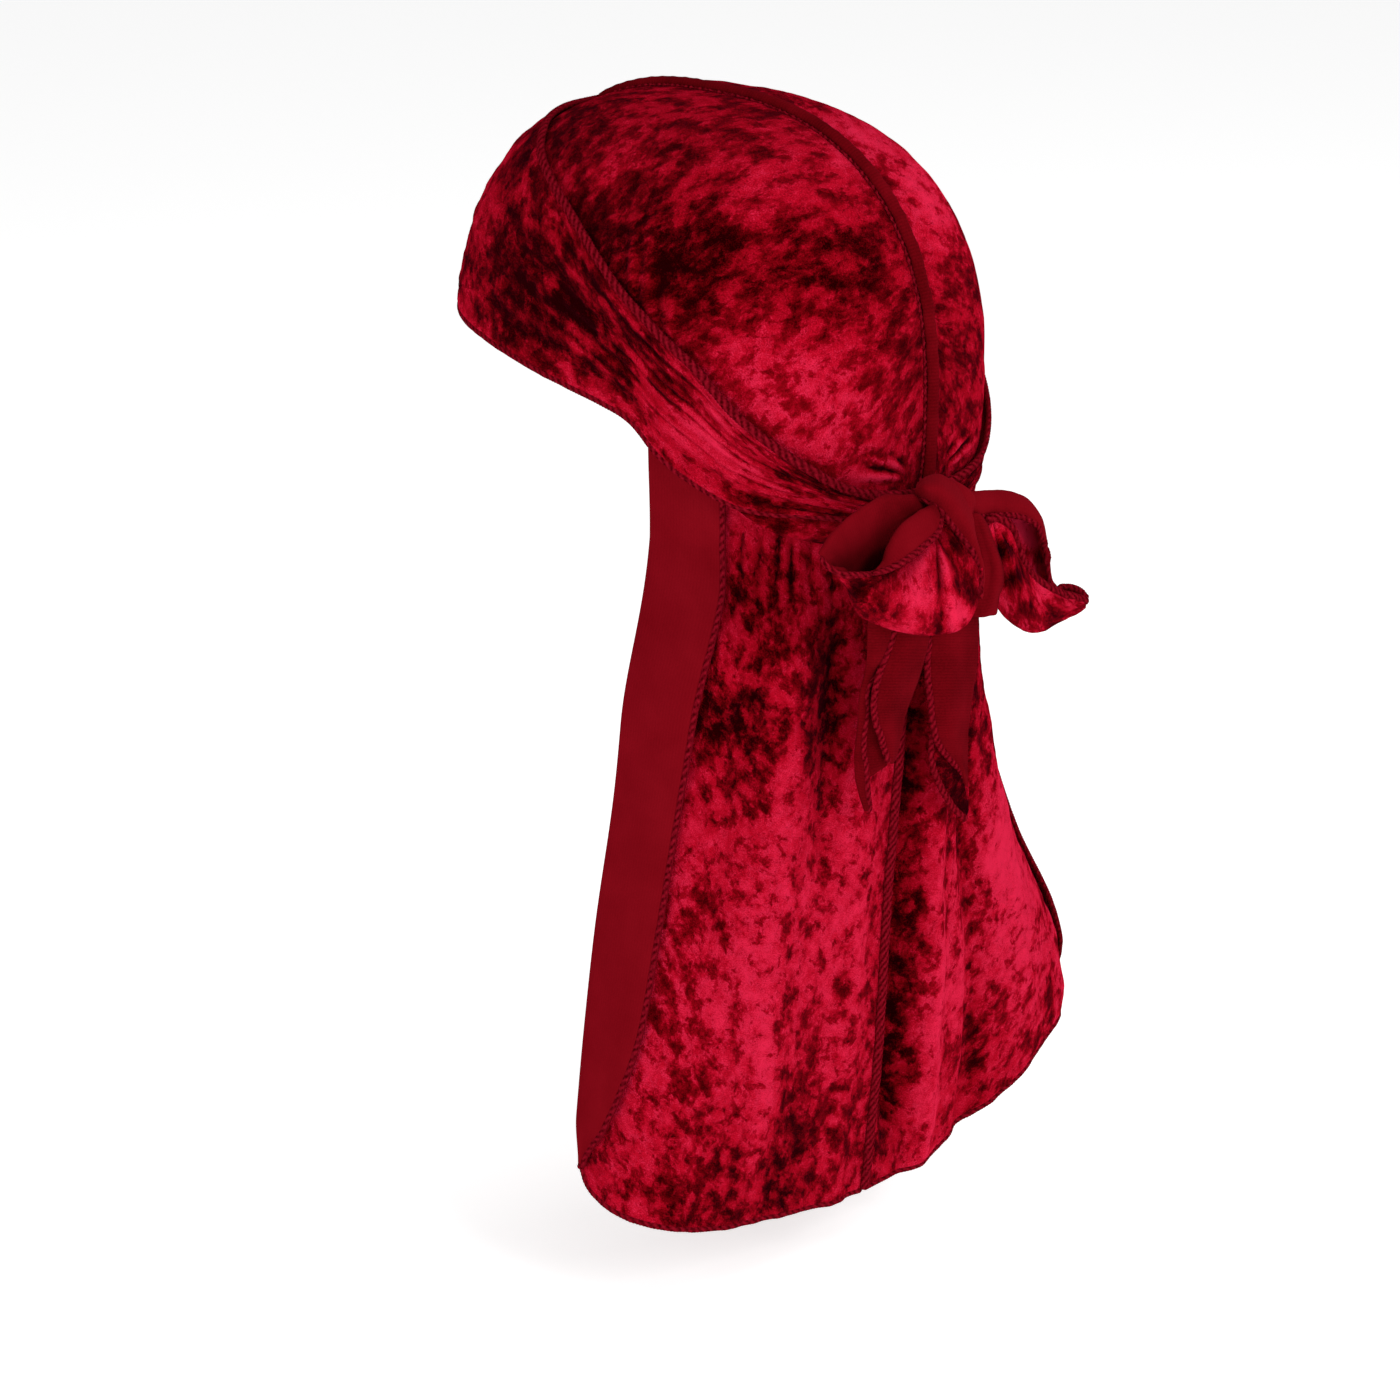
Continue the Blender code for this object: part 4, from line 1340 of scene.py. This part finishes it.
        ((-19, -155, 1), (8, -155, 4), (35, -155, -1)),
        ((-15, -190, -1), (8, -190, 2), (31, -190, -4)),
        ((-10, -220, -3), (10, -220, 0), (28, -220, -6)),
        ((-3, -237, -5), (14, -238, -3), (28, -240, -8)),
        ((10, -252, -7), (20, -254, -6), (28, -256, -10)),
        ((22, -265, -9), (25, -268, -8), (28, -272, -11)),
        ((29, -282, -11), (30, -290, -11), (29, -305, -13)),
    ),
    "tailRightBack": (
        ((-11, -222, -6), (0, -232, -5)),
        ((-11, -252, -9), (14, -250, -7)),
        ((0, -280, -11), (24, -262, -9)),
        ((15, -302, -13), (29, -285, -11)),
        ((29, -315, -14), (31, -305, -13)),
    ),
}


def bowPlace(net):
    # across, up and out in metres to points in the part's frame
    across, up, out = net[..., 0], net[..., 1], net[..., 2]
    x = (across - sideWay[1] * out) / sideWay[0]
    z = (up - upWay[0] * x - upWay[1] * out) / upWay[2]
    return np.stack([x, out, z], -1) + np.array(bow["middle"])


def smoothNet(net, countU, countV):
    # a net of points drawn as a smooth dense grid
    for axis, count in ((0, countU), (1, countV)):
        keys = np.arange(net.shape[axis], dtype=float)
        moved = np.moveaxis(net, axis, 0)
        table = np.concatenate([keys[:, None], moved.reshape(len(keys), -1)], 1)
        drawn = rowsAt(table, np.linspace(0, keys[-1], count))[:, 1:]
        net = np.moveaxis(drawn.reshape((count,) + moved.shape[1:]), 0, axis)
    return net


def ribbon(name, cells, showing, sewnEdges=(), pleats=None, seed=0, shade=0.0, stitch="strapEdge"):
    # one strap surface of the bow, its shell and the sewn edges on it
    net = np.array(bow[name], float)
    net = net * np.array([bow["step"], bow["step"], 0.001])
    flat = smoothNet(net, *cells)
    nap = np.full(cells, shade)
    if pleats:
        middle = np.array(pleats["middle"]) * bow["step"]
        toward = flat[..., :2] - middle
        reach = np.linalg.norm(toward, axis=-1)
        angle = np.degrees(np.arctan2(-toward[..., 1], toward[..., 0]))
        for at, width, depth in pleats["folds"]:
            push = bell(angle, at, width) * ease(reach / bow["foldStart"]) * depth
            flat[..., 2] += push * 0.001
            nap += push * pleats["shade"]
        # painted light and shade in spots
        for across, up, width, lightness in pleats["paintedSpots"]:
            away = flat[..., :2] / bow["step"] - np.array([across, up])
            nap += lightness * np.exp(-(away**2).sum(-1) / width**2)
    grid = bowPlace(flat)
    a, b = clothLengths(grid)
    crush = rough(a, b, 0.007, 300 + seed, 3) * bow["crush"]
    grid = grid + gridNormals(grid) * crush[..., None]
    mid = (cells[0] // 2, int(cells[1] * 0.6))
    if gridNormals(grid)[mid] @ nearWay < 0:
        grid, nap = grid[:, ::-1], nap[:, ::-1]
        sewnEdges = [{"first": "last", "last": "first"}.get(edge, edge) for edge in sewnEdges]
    # painted light and shade on the face side and the reverse
    paintedShadings = (bow["velvetPaintedShading"] + nap, bow["jerseyPaintedShading"] + shade)
    if showing == "jersey":
        paintedShadings = (bow["jerseyPaintedShading"] + nap, bow["hiddenPaintedShading"])
    shell = sheetShell(grid, bow["cloth"], paintedShadings[0], 5.0 + seed, 0.35, paintedShadings[1])
    if showing == "jersey":
        shell["index"] = np.where(shell["index"] == 0, 1.0, 0.0)
    normals = gridNormals(grid)
    shells = [shell]
    for edge in sewnEdges:
        line, way = {
            "first": (grid[:, 0], normals[:, 0]),
            "last": (grid[:, -1], normals[:, -1]),
        }[edge]
        shells.append(overlockShell(line, way, sewn[stitch], 60 + seed))
    return shells


def knotShell():
    u, v = gridOf(49, 33)
    turn, level = u * 2 * math.pi, (v - 0.5) * math.pi
    way = np.stack([np.cos(turn) * np.cos(level), np.sin(turn) * np.cos(level), np.sin(level)], -1)
    winding = 1 + bow["winding"] * np.cos((way[..., 0] * 0.8 - way[..., 2]) * 7)
    grid = way * np.array(bow["core"]) * winding[..., None] + np.array(bow["middle"])
    shell = sheetShell(grid, 0.0012, u * 0, 8.8)
    shell["index"] = np.ones(len(shell["index"]))
    return shell


print("tying the bow")
# folds fan out from a middle: angle in degrees, width, depth in millimetres.
# Spots of painted light and shade: across, up, reach, lightness
leftPleats = {
    "middle": (-14, -28),
    "folds": ((58, 10, -2.2), (76, 5, 2.4), (88, 5, -2.0), (118, 14, 1.6), (145, 9, -2.0)),
    "shade": 0.09,
    "paintedSpots": (
        (-68, -104, 17, -0.30),
        (-100, -84, 12, -0.16),
        (8, -36, 16, -0.30),
        (-30, -90, 15, 0.14),
        (14, -104, 9, 0.18),
        (3, -78, 8, -0.26),
        (-6, -108, 7, -0.12),
    ),
}
rightPleats = {
    "middle": (46, -8),
    "folds": ((49, 4, 1.2), (57, 6, -1.4), (67, 5, 1.4), (79, 8, -1.2), (90, 6, 0.8)),
    "shade": 0.05,
    "paintedSpots": (
        (56, -40, 13, -0.42),
        (70, -66, 11, -0.38),
        (84, -96, 9, -0.30),
        (60, -92, 13, 0.16),
        (82, -116, 10, 0.22),
        (98, -88, 10, 0.26),
        (118, -100, 12, -0.26),
        (136, -92, 8, 0.10),
    ),
}
# painted highlights inside the right loop, which lies in shadow, and one painted shadow
rightInside = {
    "middle": (46, -8),
    "folds": (),
    "shade": 0.0,
    "paintedSpots": ((78, -10, 13, 0.70), (97, -26, 9, 0.70), (101, -62, 10, 0.70), (80, -44, 10, -0.25)),
}
ties = (
    ("loopLeft", "loop_left", [
        ribbon("leftWall", (121, 45), "jersey", (), None, 1, -0.10),
        ribbon("leftLobe", (201, 81), "velvet", ("first",), leftPleats, 2),
        ribbon("leftFlap", (121, 33), "jersey", ("last",), None, 3),
    ]),
    ("loopRight", "loop_right", [
        ribbon("rightBand", (161, 61), "velvet", ("first",), rightInside, 4),
        ribbon("rightLobe", (161, 61), "velvet", ("first",), rightPleats, 5, 0.0, "lobeEdge"),
        ribbon("tipCurl", (61, 25), "jersey", ("last",), None, 6),
    ]),
    ("knotTurns", "knot", [
        [knotShell()],
        ribbon("knotStrap", (121, 33), "jersey", ("first",), None, 7),
        ribbon("fallingStrap", (101, 33), "jersey", (), None, 8, -0.12),
    ]),
    ("tailLeft", "tail_left", [
        ribbon("tailLeftInner", (141, 17), "jersey", ("last",), None, 9, -0.22),
        ribbon("tailLeftMain", (121, 33), "jersey", ("first",), None, 10, -0.22),
        ribbon("tailLeftBack", (61, 17), "jersey", (), None, 11, -0.22),
    ]),
    ("tailRight", "tail_right", [
        ribbon("tailRightMain", (121, 41), "jersey", ("first",), None, 12, -0.22),
        ribbon("tailRightBack", (61, 17), "velvet", ("first",), None, 13, -0.35),
    ]),
)
tied = {}
for name, node, parts in ties:
    shells = [shell for part in parts for shell in part]
    tied[name] = clothPiece(name, shells, [velvets["Bow"], jersey, thread])
    dress(tied[name], node)

print("setting the floor, lights and camera")
studio = {
    "floorLevel": -0.352,
    "floorHalf": 30.0,
    "target": (-0.0025, -0.1409),
    "distance": 2.0,
    "lens": 129.18,
    "world": 0.42,
}
floorMesh = bpy.data.meshes.new("studioFloor")
half = studio["floorHalf"]
corners = [(-half, -half, 0), (half, -half, 0), (half, half, 0), (-half, half, 0)]
floorMesh.from_pydata(corners, [], [(0, 1, 2, 3)])
floor = bpy.data.objects.new("studioFloor", floorMesh)
floor.location.z = studio["floorLevel"]
bpy.context.scene.collection.objects.link(floor)
floorMat = bpy.data.materials.new("paleFloor")
floorMat.use_nodes = True
floorShader = floorMat.node_tree.nodes["Principled BSDF"]
floorShader.inputs["Base Color"].default_value = (0.93, 0.93, 0.93, 1.0)
floorShader.inputs["Roughness"].default_value = 0.9
floorShader.inputs["Emission Color"].default_value = (1.0, 1.0, 1.0, 1.0)
floorShader.inputs["Emission Strength"].default_value = 0.5
floorMesh.materials.append(floorMat)

world = bpy.data.worlds.new("studio")
bpy.context.scene.world = world
world.use_nodes = True
sky = world.node_tree.nodes["Background"]
sky.inputs["Color"].default_value = (1.0, 1.0, 1.0, 1.0)
sky.inputs["Strength"].default_value = studio["world"]


def areaLight(name, place, aim, width, power):
    data = bpy.data.lights.new(name, "AREA")
    data.shape = "SQUARE"
    data.size = width
    data.energy = power
    lamp = bpy.data.objects.new(name, data)
    lamp.location = place
    lamp.rotation_mode = "QUATERNION"
    lamp.rotation_quaternion = (Vector(aim) - Vector(place)).to_track_quat("-Z", "Y")
    bpy.context.scene.collection.objects.link(lamp)


areaLight("keySoftbox", (0.4, 1.9, 0.9), (0, 0, -0.1), 0.7, 15)
areaLight("fillSoftbox", (1.8, 0.2, 0.5), (0, 0, -0.1), 1.2, 10)
areaLight("topSoftbox", (0.0, 0.3, 1.8), (0, 0, 0), 1.0, 6)
areaLight("farSoftbox", (-1.6, 1.0, 0.9), (0, 0, -0.1), 0.7, 11)

cameraData = bpy.data.cameras.new("photoCamera")
cameraData.sensor_width = 36.0
cameraData.lens = studio["lens"]
camera = bpy.data.objects.new("photoCamera", cameraData)
target = Vector(sideWay) * studio["target"][0] + Vector((0, 0, studio["target"][1]))
camera.location = target + Vector(nearWay) * studio["distance"]
camera.rotation_mode = "QUATERNION"
camera.rotation_quaternion = Vector(nearWay).to_track_quat("Z", "Y")
bpy.context.scene.collection.objects.link(camera)
bpy.context.scene.camera = camera
bpy.context.scene.view_settings.view_transform = "Standard"
